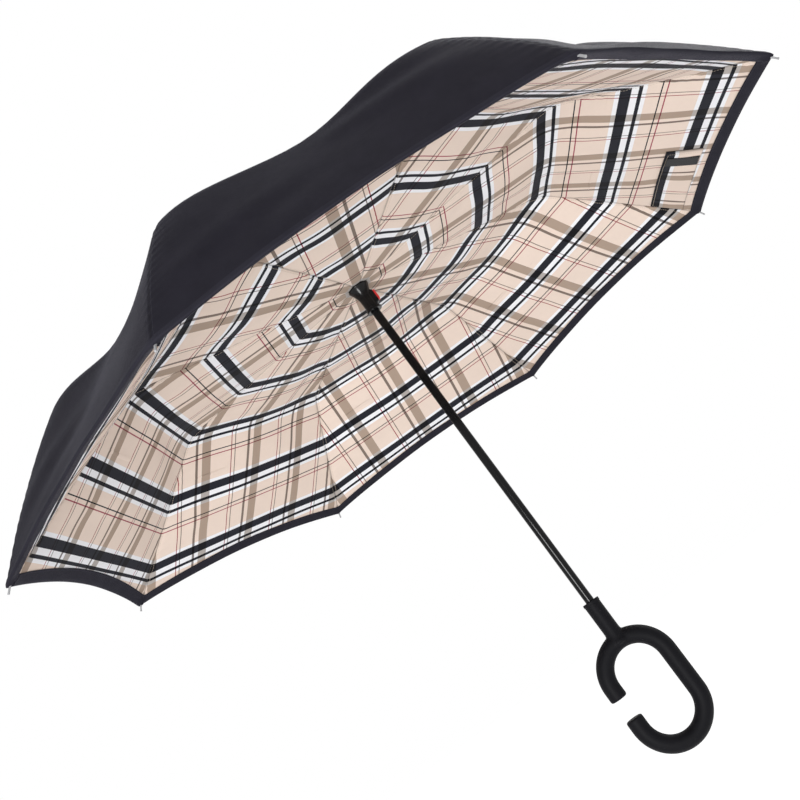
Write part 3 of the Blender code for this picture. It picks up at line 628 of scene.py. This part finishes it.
outer_end = lengths(outer_cloth)[-1]
shoulder_cut = distance_at(outer_cloth, SHOULDER_RADIUS)
elbow_cut = distance_at(outer_cloth, ELBOW_CLOTH_RADIUS)
inner_cut = distance_at(inner_cloth, INNER_SPLIT)
skirt_run = inner_cloth[-1] - inner_cloth[-6]
skirt_slope = math.atan2(-skirt_run[1], skirt_run[0])
before_cut = inner_cloth[lengths(inner_cloth) < inner_cut - 0.0005]
cut_point = on_line(inner_cloth, np.array([inner_cut]))
pleat_end = inner_cut + PLEAT_REACH
pleat_line = np.concatenate([before_cut, cut_point, cut_point + PLEAT_REACH * PLEAT_AHEAD])
PLEAT_FORM = dict(INNER_FORM, pucker=0.0, fold=0.0)
SKIRT_FOLD, ROD_FOLD = (skirt_slope, math.radians(-14)), (ROD_DROP, math.radians(-17.3))

# Name, line, where it starts and ends, form, body, share of the width kept when folded,
# slope and lean of a half's axis, and how far aside of the rib a piece closes.
CUTS = [
    ("outer_canopy_hub", outer_cloth, 0.0, shoulder_cut, OUTER_FORM,
     "stretcher_body", 0.07, None, 0.0),
    ("outer_canopy_shoulder", outer_cloth, shoulder_cut, elbow_cut, OUTER_FORM,
     "rib_body", 0.05, None, 0.0125),
    ("outer_canopy_rim", outer_cloth, elbow_cut, outer_end, OUTER_FORM,
     "outer_rib_body", 0.12, ROD_FOLD, 0.0),
    ("inner_canopy_hub", inner_cloth, 0.0, inner_cut, INNER_FORM,
     "rib_body", 0.18, None, 0.0),
    ("inner_canopy_pleat", pleat_line, inner_cut, pleat_end, PLEAT_FORM,
     "rib_body", 0.38, None, 0.0),
    ("inner_canopy_rim", inner_cloth, inner_cut, inner_end, INNER_FORM,
     "outer_rib_body", SKIRT_KEEP, SKIRT_FOLD, 0.0)]
HALVES = [("_left", -1, slice(0, SEAM_COLUMN + 1), SEAM_COLUMN),
          ("_right", 1, slice(SEAM_COLUMN, None), 0)]
sewn = {}
for label, line, low, high, form, body, keep, lean, aside in CUTS:
    inner = label.startswith("inner")
    parts = HALVES if lean is not None else [("", 0, slice(None), SEAM_COLUMN)]
    for number, angle in enumerate(ANGLES, start=1):
        whole = cloth_grid(line, low, high, form, number, inner_end if inner else outer_end)
        anchor = whole[0][0, SEAM_COLUMN, [0, 2]]
        for mark, side, columns, seam_column in parts:
            grid = [array[:, columns] for array in whole]
            u, v = grid[2], grid[3]
            halves = 2 if side == 0 else 1
            size = (halves * float(u.max()), float(v.max() - v.min()))
            beyond = slice(None) if side == -1 else slice(seam_column, None)
            area = min(flat_area(u[:, beyond], v[:, beyond]), float(u.max()) * size[1]) * halves
            name = "%s%s_%d" % (label, mark, number)
            piece = show_sheet(name, grid, check if inner else blue_black, angle,
                               seam_column=seam_column)
            fold(piece, number, angle, side, keep, *(lean or (0.0, 0.0)), aside, anchor)
            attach(piece, "%s_%d" % (body, number))
            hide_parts("%s_%d" % ("inner_canopy" if inner else "outer_canopy", number))
            rests = ["%s_%d" % ("outer_rib" if "rim" in label else "rib", number)]
            sewn[name] = (piece, size, area, rests)
    print(label, "rows", len(whole[0]), "flat %.3f x %.3f m, %.4f m2" % (*size, area))

# %% [markdown]
# ## The hem binding
#
# A ribbed tape is folded over the rim. On a real umbrella it starts on the check,
# goes over the edge and ends a few millimetres down the outside. Its course across
# the hem is a chain of points, rounded by cutting the corners of the chain.

# %% Hem binding
def rounded_course(course, times):
    """Corner cutting: each pair of points a, b gives (3 a + b) / 4 and (a + 3 b) / 4.
    The first and last points stay."""
    for _ in range(times):
        near_first = (3 * course[:-1] + course[1:]) / 4
        near_last = (course[:-1] + 3 * course[1:]) / 4
        pairs = np.stack([near_first, near_last], axis=1).reshape((-1,) + course.shape[1:])
        course = np.concatenate([course[:1], pairs, course[-1:]])
    return course


def hem_course(rib):
    """Rows of points from the check round the rim to the outside, one column per across. At
    the corner the middle of the course goes 4.2 mm exp(-(y / 6 mm)^2) lower, under the tip."""
    outer, outer_n = cloth_grid(outer_cloth, outer_end - 0.02, outer_end, OUTER_FORM, rib)[:2]
    inner, inner_n = cloth_grid(inner_cloth, inner_end - 0.02, inner_end, INNER_FORM, rib)[:2]
    out_ahead, in_ahead = unit(outer[-1] - outer[-3]), unit(inner[-1] - inner[-3])
    from_corner = np.linalg.norm(inner[-1] - inner[-1, SEAM_COLUMN], axis=1)
    beside = np.exp(-((from_corner / 0.0060) ** 2))[:, None]
    start = inner[-1] - 0.0045 * in_ahead - (0.0009 + 0.0006 * beside) * inner_n[-1]
    fold = outer[-1] + 0.0014 * out_ahead
    below = fold - 0.0016 * outer_n[-1]
    over = fold + 0.0007 * outer_n[-1]
    stop = outer[-1] - 0.0050 * out_ahead + 0.0007 * outer_n[-1]
    belly = (start + 2 * below) / 3 - (0.0006 + 0.0042 * beside) * inner_n[-1]
    return rounded_course(np.stack([start, belly, below, over, stop]), 3)


AWAY_FROM_SEAMS = 0.05
hem_anchor = on_line(inner_cloth, np.array([inner_cut]))[0]
hems = {}
for number, angle in enumerate(ANGLES, start=1):
    course = hem_course(number)
    facing = -grid_normals(course, True)
    hem_u, hem_v = lengths(course[0]), lengths(course[:, SEAM_COLUMN])
    flat_u, flat_v = np.meshgrid(hem_u, hem_v)
    hem = (course, facing, flat_u, flat_v, np.full_like(flat_u, AWAY_FROM_SEAMS))
    for mark, side, columns, _ in HALVES:
        grid = [array[::-1, columns] for array in hem]
        piece = show_sheet("hem_binding%s_%d" % (mark, number), grid, binding, angle)
        fold(piece, number, angle, side, SKIRT_KEEP, *SKIRT_FOLD, 0.0, hem_anchor)
        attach(piece, "outer_rib_body_%d" % number)
        hems[mark, number] = piece
print("hem binding %.1f mm wide at the corner," % (1000 * hem_v[-1]),
      "%.3f m long in a section" % hem_u[-1])

# %% [markdown]
# ## Turned parts
#
# The shaft, the runner, the cap and the tips are bodies of revolution. Each has a
# profile of (radius, height) points, walked so that the material lies on its left.
# Moulded and machined edges are never quite sharp, so each corner of a profile is
# eased by a small curve before the profile is turned.

# %% Profiles and turning
def eased(profile, radius, steps=4):
    """A closed profile with each corner p replaced by the curve
    (1 - t)^2 a + 2 t (1 - t) p + t^2 b, with a and b at most radius away from p."""
    profile = np.asarray(profile, float)
    before, after = np.roll(profile, 1, axis=0) - profile, np.roll(profile, -1, axis=0) - profile
    far_before, far_after = np.linalg.norm(before, axis=1), np.linalg.norm(after, axis=1)
    reach = np.minimum(radius, 0.45 * np.minimum(far_before, far_after))
    reach = np.where(profile[:, 0] < 1e-6, 0.0, reach)
    a = profile + before * (reach / far_before)[:, None]
    b = profile + after * (reach / far_after)[:, None]
    t = np.linspace(0, 1, steps + 1)[None, :, None]
    curve = (1 - t) ** 2 * a[:, None] + 2 * t * (1 - t) * profile[:, None] + t ** 2 * b[:, None]
    curve = curve.reshape(-1, 2)
    keep = np.linalg.norm(curve - np.roll(curve, 1, axis=0), axis=1) > 1e-7
    return curve[keep]


def swept(rings, closed_rings, caps=False):
    """Corners and faces of a tube whose rings are rows of an array. The last ring can join
    the first, or both ends can have a cap."""
    count, sides = rings.shape[:2]
    number = np.arange(count * sides).reshape(count, sides)
    side = np.roll(number, -1, axis=1)
    if closed_rings:
        ahead, ahead_side = np.roll(number, -1, axis=0), np.roll(side, -1, axis=0)
    else:
        number, side, ahead, ahead_side = number[:-1], side[:-1], number[1:], side[1:]
    faces = np.stack([number, side, ahead_side, ahead], axis=2).reshape(-1, 4).tolist()
    if caps:
        last = (count - 1) * sides
        faces += [list(range(sides))[::-1], list(range(last, last + sides))]
    return rings.reshape(-1, 3), faces


def turned(profile, sides=72, ease=0.0003):
    """A profile (r, z) carried round the shaft: x = r cos a, y = r sin a. Points on the axis
    are merged to one pole."""
    curve = eased(profile, ease)
    a = np.linspace(0, 2 * math.pi, sides, endpoint=False)
    radius, height = curve[:, :1], curve[:, 1:]
    return swept(np.stack([radius * np.cos(a), radius * np.sin(a), height + 0 * a], axis=2), True)


def solid(name, parts, sharp=math.radians(40)):
    """One mesh from several (corners, faces) pairs, with doubles merged and faces outwards."""
    builder = bmesh.new()
    for corners, faces in parts:
        made = [builder.verts.new(corner) for corner in corners]
        for face in faces:
            builder.faces.new([made[k] for k in face])
    bmesh.ops.remove_doubles(builder, verts=builder.verts, dist=1e-7)
    bmesh.ops.dissolve_degenerate(builder, edges=builder.edges, dist=1e-8)
    bmesh.ops.recalc_face_normals(builder, faces=builder.faces)
    mesh = bpy.data.meshes.new(name)
    builder.to_mesh(mesh)
    builder.free()
    mesh.shade_smooth()
    mesh.set_sharp_from_angle(angle=sharp)
    return mesh


def show_turned(name, profile, sides, ease, material):
    """An object for one turned profile."""
    return show(name, solid(name, [turned(profile, sides, ease)]), material)

# %% [markdown]
# ## The handle
#
# The handle is one moulding in soft-touch rubber: a round grip bent to a C, and a
# short neck that takes the shaft. The grip is a circle carried along the C. To let
# the neck flow into it, both are joined by remeshing and then smoothed a little.

# %% Handle
LOOP_RADIUS, LOOP_STRAIGHT, LOOP_GAP, GRIP_RADIUS = 0.0395, 0.0515, 0.025, 0.0106
NECK_TOP, LIP_HEIGHT, LIP_RADIUS, NECK_BORE = 0.119, 0.0040, 0.0106, 0.0057
GRIP_EDGE = 0.0022


def loop_course(step):
    """The C's centre line: a straight, a half circle over the top, a straight, a half circle
    under, and a straight, with points about a step apart."""
    half, gap = LOOP_STRAIGHT / 2, LOOP_GAP / 2
    turn = np.linspace(0, math.pi, int(math.pi * LOOP_RADIUS / step))[:, None]
    over = np.concatenate([-LOOP_RADIUS * np.cos(turn), half + LOOP_RADIUS * np.sin(turn)], axis=1)
    side = np.linspace(half, -half, int(LOOP_STRAIGHT / step))[1:-1, None]
    down = np.concatenate([LOOP_RADIUS + 0 * side, side], axis=1)
    rise = np.linspace(gap, half, int((half - gap) / step) + 2)[:-1, None]
    up = np.concatenate([-LOOP_RADIUS + 0 * rise, rise], axis=1)
    back = up[::-1] * np.array([1, -1])
    return np.concatenate([up, over, down, over * np.array([-1, -1]), back])


def grip_rings(course, sides):
    """Rings of the grip. Its ends are rounded: with w the distance from an end, the radius is
    R - e + sqrt(e^2 - (e - w)^2) for w below e, and R beyond."""
    ahead = unit(np.gradient(course, axis=0))
    edge = GRIP_EDGE
    run = lengths(course)
    extra = edge * np.array([0, 0.04, 0.15, 0.35, 0.65, 1.0])
    inside = run[(run > edge) & (run < run[-1] - edge)]
    where = np.unique(np.concatenate([extra, inside, run[-1] - extra]))
    centre = on_line(course, where)
    facing = unit(np.stack([np.interp(where, run, ahead[:, k]) for k in (0, 1)], axis=1))
    w = np.minimum(np.minimum(where, run[-1] - where), edge)
    reach = GRIP_RADIUS - edge + np.sqrt(np.maximum(edge ** 2 - (edge - w) ** 2, 0))
    a = np.linspace(0, 2 * math.pi, sides, endpoint=False)
    x = centre[:, :1] + reach[:, None] * facing[:, 1:] * np.cos(a)
    z = centre[:, 1:] - reach[:, None] * facing[:, :1] * np.cos(a)
    return np.stack([x, reach[:, None] * np.sin(a), z], axis=2)


def melted(name, mesh, voxel, rounds):
    """Overlapping closed shapes made one skin by a voxel remesh, then smoothed."""
    block = bpy.data.objects.new(name, mesh)
    bpy.context.scene.collection.objects.link(block)
    skin = block.modifiers.new("skin", "REMESH")
    skin.mode, skin.voxel_size, skin.use_smooth_shade = "VOXEL", voxel, True
    ease = block.modifiers.new("ease", "SMOOTH")
    ease.factor, ease.iterations = 0.5, rounds
    shaped = block.evaluated_get(bpy.context.evaluated_depsgraph_get())
    result = bpy.data.meshes.new_from_object(shaped)
    bpy.data.objects.remove(block)
    result.shade_smooth()
    return result


grip = swept(grip_rings(loop_course(0.0025), 48), False, caps=True)
root = LOOP_STRAIGHT / 2 + LOOP_RADIUS
drop = np.linspace(0, 1, 12)
neck_side = np.stack([0.0100 + 0.0030 * (1 - drop) ** 3, root - 0.001 + 0.0200 * drop], axis=1)
neck = turned(np.concatenate([[(0, root - 0.004), (0.0125, root - 0.004)], neck_side,
                              [(0.0101, NECK_TOP - 0.0012), (0, NECK_TOP - 0.0012)]]), 64)
handle_mesh = melted("handle_work", solid("handle_work", [grip, neck]), 0.0009, 8)

paint = Paint("soft_touch_rubber")
place = paint.place()
blotch = paint.noise(place, 60.0, 4.0)
colour = paint.mix(blotch, (0.0028, 0.0028, 0.0040), (0.0055, 0.0054, 0.0072))
pores = paint.noise(place, 2600.0, 2.0)
rubber = paint.finish(Base_Color=colour, Roughness=0.50 + 0.14 * blotch,
                      Normal=paint.bump(pores, 0.00010, 0.5), Specular_IOR_Level=0.10)
handle = show("handle_grip", handle_mesh, rubber)
collar_foot = NECK_TOP - LIP_HEIGHT
collar_profile = [(NECK_BORE, collar_foot), (LIP_RADIUS, collar_foot), (LIP_RADIUS, NECK_TOP),
                  (NECK_BORE, NECK_TOP)]
collar = show_turned("handle_collar", collar_profile, 72, 0.0006, rubber)
for piece in (handle, collar):
    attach(piece, "frame")
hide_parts("handle")
print("handle faces:", len(handle_mesh.polygons))

# %% [markdown]
# ## Shaft, runner, button and cap
#
# The shaft is a drawn steel tube under glossy black enamel. The runner is moulded
# nylon: a flange that holds the ribs' wire, a flare under the cloth, a plain sleeve,
# a box for the red button, and a lip at its foot. The cap closes the crown.

# %% Soft-cornered box
def soft_box(size, centre, squareness=0.18, steps=28):
    """A rounded box: each coordinate is half its size times a power of sine or cosine,
    x = a C(v) C(u), y = b C(v) S(u), z = c S(v), with C(t) = sign(cos t) |cos t|^e."""
    def power(wave):
        return np.sign(wave) * np.abs(wave) ** squareness
    u = np.linspace(0, 2 * math.pi, 2 * steps, endpoint=False)[None, :]
    v = np.linspace(-math.pi / 2, math.pi / 2, steps)[:, None]
    a, b, c = (0.5 * part for part in size)
    level = power(np.cos(v))
    rings = np.stack([a * level * power(np.cos(u)), b * level * power(np.sin(u)),
                      c * power(np.sin(v)) + 0 * u], axis=2)
    return swept(rings + np.array(centre), False)


# %% Enamel, nylon and red plastic
def plastic(name, low, high, rough, grain, depth, coat=0.0, metal=0.0, shine=0.5):
    """Noise moves the colour between two near tones, the roughness, and a fine bump."""
    paint = Paint(name)
    place = paint.place()
    cloudy = paint.noise(place, 45.0, 4.0)
    fine = paint.noise(place, grain, 3.0)
    return paint.finish(Base_Color=paint.mix(cloudy, low, high), Metallic=metal,
                        Roughness=(rough - 0.06) + 0.12 * cloudy, Coat_Weight=coat,
                        Normal=paint.bump(fine, depth, 0.5), Coat_Roughness=0.08,
                        Specular_IOR_Level=shine)


enamel = plastic("black_enamel", (0.002, 0.002, 0.0025), (0.004, 0.004, 0.0045),
                 0.16, 900.0, 0.00002, 0.15, 0.0, 0.10)
nylon = plastic("black_nylon", (0.003, 0.003, 0.0035), (0.006, 0.006, 0.0065),
                0.24, 1800.0, 0.00004, 0.20, 0.0, 0.12)
red_plastic = plastic("red_plastic", (0.56, 0.018, 0.022), (0.66, 0.030, 0.032),
                      0.34, 1500.0, 0.00004, 0.2, 0.0, 0.3)
tip_plastic = plastic("pale_grey_plastic", (0.30, 0.30, 0.31), (0.38, 0.38, 0.39),
                      0.42, 1500.0, 0.00004, 0.0, 0.0, 0.3)
bare_wire = plastic("bright_wire", (0.48, 0.48, 0.49), (0.58, 0.58, 0.59),
                    0.30, 2500.0, 0.00002, 0.0, 1.0)
dark_steel = plastic("dark_steel", (0.012, 0.012, 0.013), (0.022, 0.022, 0.024),
                     0.36, 1200.0, 0.00004, 0.1, 0.3, 0.2)
fibre = plastic("glass_fibre_rod", (0.012, 0.012, 0.013), (0.022, 0.022, 0.023),
                0.42, 2200.0, 0.00005, 0.0, 0.0, 0.2)

# %% Shaft
SHAFT_BORE, SHAFT_RADIUS, SHAFT_FOOT, SHAFT_TOP = 0.0047, 0.0055, 0.0828, 0.7305
shaft_profile = [(SHAFT_BORE, SHAFT_FOOT), (SHAFT_RADIUS, SHAFT_FOOT),
                 (SHAFT_RADIUS, SHAFT_TOP), (SHAFT_BORE, SHAFT_TOP)]
shaft = show_turned("shaft_tube", shaft_profile, 64, 0.0003, enamel)
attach(shaft, "frame")
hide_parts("shaft")

# %% Runner
RUNNER_BORE, SLEEVE_RADIUS, FOOT_RADIUS, FLANGE_RADIUS = 0.0058, 0.0090, 0.0106, 0.0172
GROOVE_RADIUS, GROOVE_HALF, CLAMP_NECK, TOP_RADIUS = 0.0137, 0.0009, 0.0094, 0.0118
BAND_FOOT, BAND_HEIGHT, BAND_RADIUS = 0.0375, 0.0009, 0.00925
BOX_BACK, BOX_FACE, BOX_DROP = 0.0060, 0.0114, 0.0260
z = RUNNER_HEIGHT
flare = np.linspace(0, 1, 10)
flare_side = np.stack([SLEEVE_RADIUS + 0.0055 * (1 - flare) ** 1.6,
                       z - 0.0056 - 0.0170 * flare], axis=1)
runner_foot = [(RUNNER_BORE, z - 0.0430), (FOOT_RADIUS, z - 0.0430), (FOOT_RADIUS, z - 0.0404),
               (SLEEVE_RADIUS, z - 0.0398)]
runner_head = [(RUNNER_RING, z - 0.0048), (CLAMP_NECK, z - 0.0048), (CLAMP_NECK, z - FLANGE_HALF),
               (FLANGE_RADIUS, z - FLANGE_HALF), (FLANGE_RADIUS, z - GROOVE_HALF),
               (GROOVE_RADIUS, z - GROOVE_HALF), (GROOVE_RADIUS, z + GROOVE_HALF),
               (FLANGE_RADIUS, z + GROOVE_HALF), (FLANGE_RADIUS, z + FLANGE_HALF),
               (TOP_RADIUS, z + FLANGE_HALF), (TOP_RADIUS, z + 0.0039), (RUNNER_BORE, z + 0.0039)]
runner_profile = np.concatenate([runner_foot, flare_side[::-1], runner_head])
centre = z - BOX_DROP
housing = soft_box((BOX_FACE - BOX_BACK, 0.0104, 0.0200), ((BOX_FACE + BOX_BACK) / 2, 0, centre),
                   0.16)
bezel = soft_box((0.0016, 0.0090, 0.0176), (BOX_FACE + 0.0002, 0, centre), 0.14)
band_foot, band_top = z - BAND_FOOT, z - BAND_FOOT + BAND_HEIGHT
band = turned([(0.0088, band_foot), (BAND_RADIUS, band_foot), (BAND_RADIUS, band_top),
               (0.0088, band_top)], 72, 0.0003)
runner_mesh = solid("runner_sleeve", [turned(runner_profile, 96, 0.0004), housing, bezel, band])
runner = show("runner_sleeve", runner_mesh, nylon)
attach(runner, "runner_body")
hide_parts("runner")

# %% Release button
BUTTON_BACK, BUTTON_FACE, RIDGE_SPAN = 0.0100, 0.0150, 0.0045
ridges = [soft_box((0.0008, 0.0048, 0.0009), (BUTTON_FACE, 0, centre + offset), 0.5, 12)
          for offset in np.linspace(-RIDGE_SPAN, RIDGE_SPAN, 6)]
pad = soft_box((BUTTON_FACE - BUTTON_BACK, 0.0068, 0.0150),
               ((BUTTON_FACE + BUTTON_BACK) / 2, 0, centre), 0.22)
button = show("release_button_face", solid("release_button_face", [pad] + ridges), red_plastic)
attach(button, "button_body")
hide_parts("release_button")

# %% Cap
NOSE_RADIUS, NOSE_FLAT, CAP_HEIGHT = 0.0046, 0.0034, 0.0186
base = CROWN_HEIGHT + CROWN_RISE + 0.0016
dome = np.linspace(0, 1, 14) * math.pi / 2
dome_side = np.stack([NOSE_RADIUS + 0.0119 * np.cos(dome) ** 0.9,
                      base + 0.0016 + 0.0080 * np.sin(dome) ** 1.2], axis=1)
nose = [(NOSE_RADIUS, base + 0.0174), (NOSE_FLAT, base + CAP_HEIGHT), (0, base + CAP_HEIGHT)]
cap_profile = np.concatenate([[(0, base), (CAP_RADIUS, base)], dome_side, nose])
cap = show_turned("crown_cap", cap_profile, 96, 0.0004, nylon)
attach(cap, "frame")
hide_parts("top_cap")
print("cap top at", round(float(cap_profile[:, 1].max()), 4))

# %% [markdown]
# ## Tips and strap
#
# A grey plastic tip closes each corner of the rim, and its pin sticks out of the
# hem. The closing strap is a doubled strip of the checked cloth, sewn along one
# side of the first rib, with a patch of hooks near its loose end.

# %% Tips
SLEEVE_LENGTH, ROD_IN_TIP, TIP_BORE = 0.0200, 0.0083, 0.0016
tip_start, tip_end = rod_point(1 - SLEEVE_LENGTH / ROD_SPAN), rod_point(1.0)
tip_ahead = unit(tip_end - tip_start)
tip_profile = [
    (TIP_BORE, 0), (0.0022, 0), (TIP_RADIUS, 0.0015), (TIP_RADIUS, 0.0040), (0.0022, 0.0044),
    (0.0022, 0.0056), (TIP_RADIUS, 0.0060), (0.0023, 0.0110), (0.0018, 0.0180),
    (0.0012, SLEEVE_LENGTH), (0.0011, 0.0262), (0.0014, 0.0270), (0.0012, 0.0279), (0, 0.0282),
    (0, ROD_IN_TIP), (TIP_BORE, ROD_IN_TIP)]
corners, tip_faces = turned(tip_profile, 32, 0.0004)
square_on = np.array([tip_ahead[1], 0, -tip_ahead[0]])
spun = corners[:, :1] * square_on + corners[:, 1:2] * np.array([0, 1.0, 0])
spun = spun + corners[:, 2:] * np.array([tip_ahead[0], 0, tip_ahead[1]])
spun = spun + np.array([tip_start[0], 0, tip_start[1]])
for number, angle in enumerate(ANGLES, start=1):
    placed = spun @ np.array(Matrix.Rotation(angle, 3, "Z")).T
    tip_mesh = solid("rim_tip_%d" % number, [(placed, tip_faces)])
    tip = show("rim_tip_%d" % number, tip_mesh, tip_plastic)
    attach(tip, "outer_rib_body_%d" % number)
    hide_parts("tip_%d" % number)
print("tips: 8")


# %% Strap
STRAP_START, STRAP_END, STRAP_WIDTH = 0.006, 0.184, 0.052
STRAP_FROM_HEM = 0.0165


def strap_grid(along, wide, lift):
    """A patch of the inner cloth's surface, along metres from the seam and wide metres from the
    hem's edge, moved to the cloth's inner side by lift."""
    rows = inner_end - STRAP_FROM_HEM - wide
    middle_row = np.array([inner_end - STRAP_FROM_HEM - STRAP_WIDTH / 2])
    half_chord = float(on_line(inner_cloth, middle_row)[0, 0]) * SIN
    columns = -along / half_chord
    plain = dict(INNER_FORM, pucker=0.0, seam=0.0)
    points, _, _, _ = section(inner_cloth, rows[::-1], columns[::-1], 1, **plain)
    points = points[::-1, ::-1]
    normal = grid_normals(points, False)
    normal *= np.where(normal[:, :, 2:] > 0, -1, 1)
    return points + normal * lift, normal


def edge_distance(along, wide):
    """Distance of each grid point from the nearest edge of a strip."""
    a = np.minimum(along - along[0], along[-1] - along)[None, :]
    b = np.minimum(wide - wide[0], wide[-1] - wide)[:, None]
    return np.minimum(a, b) + 0 * (a + b)


def strip(name, along, wide, lift, thickness, material):
    """An object for a strip on the cloth. Its rows are turned over where they would face in."""
    points, normals = strap_grid(along, wide, lift)
    grid = (points, normals, *np.meshgrid(along, wide), edge_distance(along, wide))
    facing = np.cross(points[1, 0] - points[0, 0], points[0, 1] - points[0, 0]) @ normals[0, 0]
    order = slice(None) if facing > 0 else slice(None, None, -1)
    return show_sheet(name, [array[order] for array in grid], material, ANGLES[0], thickness)


strap_along = np.linspace(STRAP_START, STRAP_END, 64)
strap_wide = np.linspace(0.0, STRAP_WIDTH, 22)
belly = 0.0010 * np.sin(math.pi * strap_wide / STRAP_WIDTH)[:, None]
curl = 0.0022 * np.clip((strap_along - 0.124) / 0.060, 0, 1)[None, :] ** 2
ripple = 0.0003 * np.sin(strap_along / 0.0045)[None, :] * np.cos(strap_wide / 0.008)[:, None]
thin = np.clip(edge_distance(strap_along, strap_wide) / 0.0020, 0, 1) ** 0.5
lift = 0.0011 + (belly + curl + ripple) * thin
strap = strip("strap_band", strap_along, strap_wide, lift[:, :, None], 0.0014, strap_check)

paint = Paint("hook_tape")
place = paint.place()
hooks = paint.noise(place, 1400.0, 2.0)
beside = paint.add("ShaderNodeAttribute", {"attribute_name": "seam"}, {}, 2)
colour = paint.mix(hooks, (0.004, 0.004, 0.005), (0.022, 0.022, 0.024))
colour = paint.mix(near(beside, 0.0, 0.0012, 0.0004) * 0.6, colour, (0.010, 0.010, 0.011))
hook_tape = paint.finish(Base_Color=colour, Roughness=0.80 + 0.10 * hooks,
                         Normal=paint.bump(hooks, 0.0004, 0.8))
patch_along, patch_wide = np.linspace(0.148, 0.170, 12), np.linspace(0.003, 0.049, 24)
patch = strip("strap_hooks", patch_along, patch_wide, 0.0042, 0.0016, hook_tape)
for piece in (strap, patch):
    fold(piece, 1, ANGLES[0], -1, SKIRT_KEEP, *SKIRT_FOLD, 0.0, hem_anchor)
    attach(piece, "outer_rib_body_1")
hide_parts("closing_strap")
print("strap ready")

# %% Finishes of the frame's own pieces
FINISHES = {"rib": dark_steel, "outer_rib": fibre, "stretcher": dark_steel, "crown": nylon,
            "crown_wire": bare_wire, "runner_wire": bare_wire, "button_spring": bare_wire}
finished = 0
for name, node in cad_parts.items():
    kind = name.rstrip("0123456789").rstrip("_")
    if kind in FINISHES:
        node.data.materials.clear()
        node.data.materials.append(FINISHES[kind])
        finished += 1
print("finished nodes:", finished)

# %% [markdown]
# ## Floor, light and camera
#
# The photograph has a plain white ground. A pale floor lies well below the
# umbrella, and the world looks white to the camera while it lights the object
# softly. Two soft lamps do the modelling: one from the camera's side, one from
# behind and above, which skims the far panel. The camera stands low and looks up,
# rolled to the photograph's tilt.

# %% Floor
def floor_mesh(half, steps, height):
    """A square grid whose edge rises gently: z = height + 0.25 (distance / half)^8."""
    line = np.linspace(-half, half, steps)
    x, y = np.meshgrid(line, line)
    z = height + 0.25 * np.maximum(np.abs(x), np.abs(y)) ** 8 / half ** 8
    number = np.arange(steps * steps).reshape(steps, steps)
    faces = np.stack([number[:-1, :-1], number[:-1, 1:], number[1:, 1:], number[1:, :-1]], axis=2)
    mesh = bpy.data.meshes.new("floor")
    places = np.stack([x, y, z], axis=2).reshape(-1, 3)
    mesh.from_pydata(places, [], faces.reshape(-1, 4).tolist())
    mesh.shade_smooth()
    return mesh


paint = Paint("pale_floor")
colour = paint.grey(0.92 + 0.03 * paint.noise(paint.place(), 3.0))
seen = paint.add("ShaderNodeLightPath", {}, {}, 0)
shining = paint.add("ShaderNodeLightPath", {}, {}, 3)
white = (seen + shining).math("MINIMUM", 1.0)
glow = paint.mix(white, (0.0, 0.0, 0.0), (0.58, 0.58, 0.58))
floor_material = paint.finish(Base_Color=colour, Roughness=0.9, Emission_Color=glow,
                              Emission_Strength=1.0)
floor = show("floor", floor_mesh(16.0, 25, -0.95), floor_material)
floor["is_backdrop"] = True

# %% World and lamps
world = bpy.data.worlds.new("studio")
bpy.context.scene.world = world
world.use_nodes = True
tree = world.node_tree
tree.nodes.clear()
path = tree.nodes.new("ShaderNodeLightPath")
either = tree.nodes.new("ShaderNodeMath")
either.operation = "MAXIMUM"
tree.links.new(path.outputs["Is Camera Ray"], either.inputs[0])
tree.links.new(path.outputs["Is Glossy Ray"], either.inputs[1])
blend = tree.nodes.new("ShaderNodeMixShader")
tree.links.new(either.outputs[0], blend.inputs[0])
for slot, strength in ((1, 0.50), (2, 1.0)):
    sky = tree.nodes.new("ShaderNodeBackground")
    sky.inputs["Color"].default_value = (1, 1, 1, 1)
    sky.inputs["Strength"].default_value = strength
    tree.links.new(sky.outputs[0], blend.inputs[slot])
output = tree.nodes.new("ShaderNodeOutputWorld")
tree.links.new(blend.outputs[0], output.inputs["Surface"])


def lamp(name, place, target, size, power):
    """A square soft lamp that points at a target."""
    data = bpy.data.lights.new(name, "AREA")
    data.shape = "SQUARE"
    data.size = size
    data.energy = power
    item = bpy.data.objects.new(name, data)
    bpy.context.scene.collection.objects.link(item)
    item.location = place
    item.rotation_euler = (Vector(target) - Vector(place)).to_track_quat("-Z", "Y").to_euler()
    return item


lamp("front_lamp", (-0.85, -2.0, -0.10), (0.0, 0.0, 0.5), 0.7, 37.0)
lamp("top_lamp", (1.6, 0.75, 2.0), (0.0, 0.0, 0.6), 1.6, 34.0)
print("two lamps")

# %% Camera
data = bpy.data.cameras.new("camera")
data.sensor_width = 36.0
data.lens = 46.690
data.dof.use_dof = False
camera = bpy.data.objects.new("camera", data)
bpy.context.scene.collection.objects.link(camera)
camera.location = (-0.12751, -1.24735, 0.13334)
camera.rotation_euler = [math.radians(part) for part in (107.3409, 34.7831, 6.1457)]
bpy.context.scene.camera = camera
bpy.context.scene.view_settings.view_transform = "Standard"

# %% [markdown]
# ## The sewn pieces and the size
#
# For each sewn piece the loop below only looks up, on an inner rim, the hem binding that lies on
# it. The box of the dressed model is printed next to the frame's own box, to see that the scene
# kept the size.

# %% The sewn pieces and the size
for name, (piece, size, area, rests) in sewn.items():
    number = int(name.rsplit("_", 1)[1])
    on_it = []
    if name.startswith("inner_canopy_rim"):
        on_it = [hems["_" + name.split("_")[3], number]]

new_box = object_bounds()
for label, (low, high) in (("frame", cad_box), ("dressed", new_box)):
    size = tuple(1000 * (high[axis] - low[axis]) for axis in range(3))
    print(label, "size %.1f x %.1f x %.1f mm" % size)
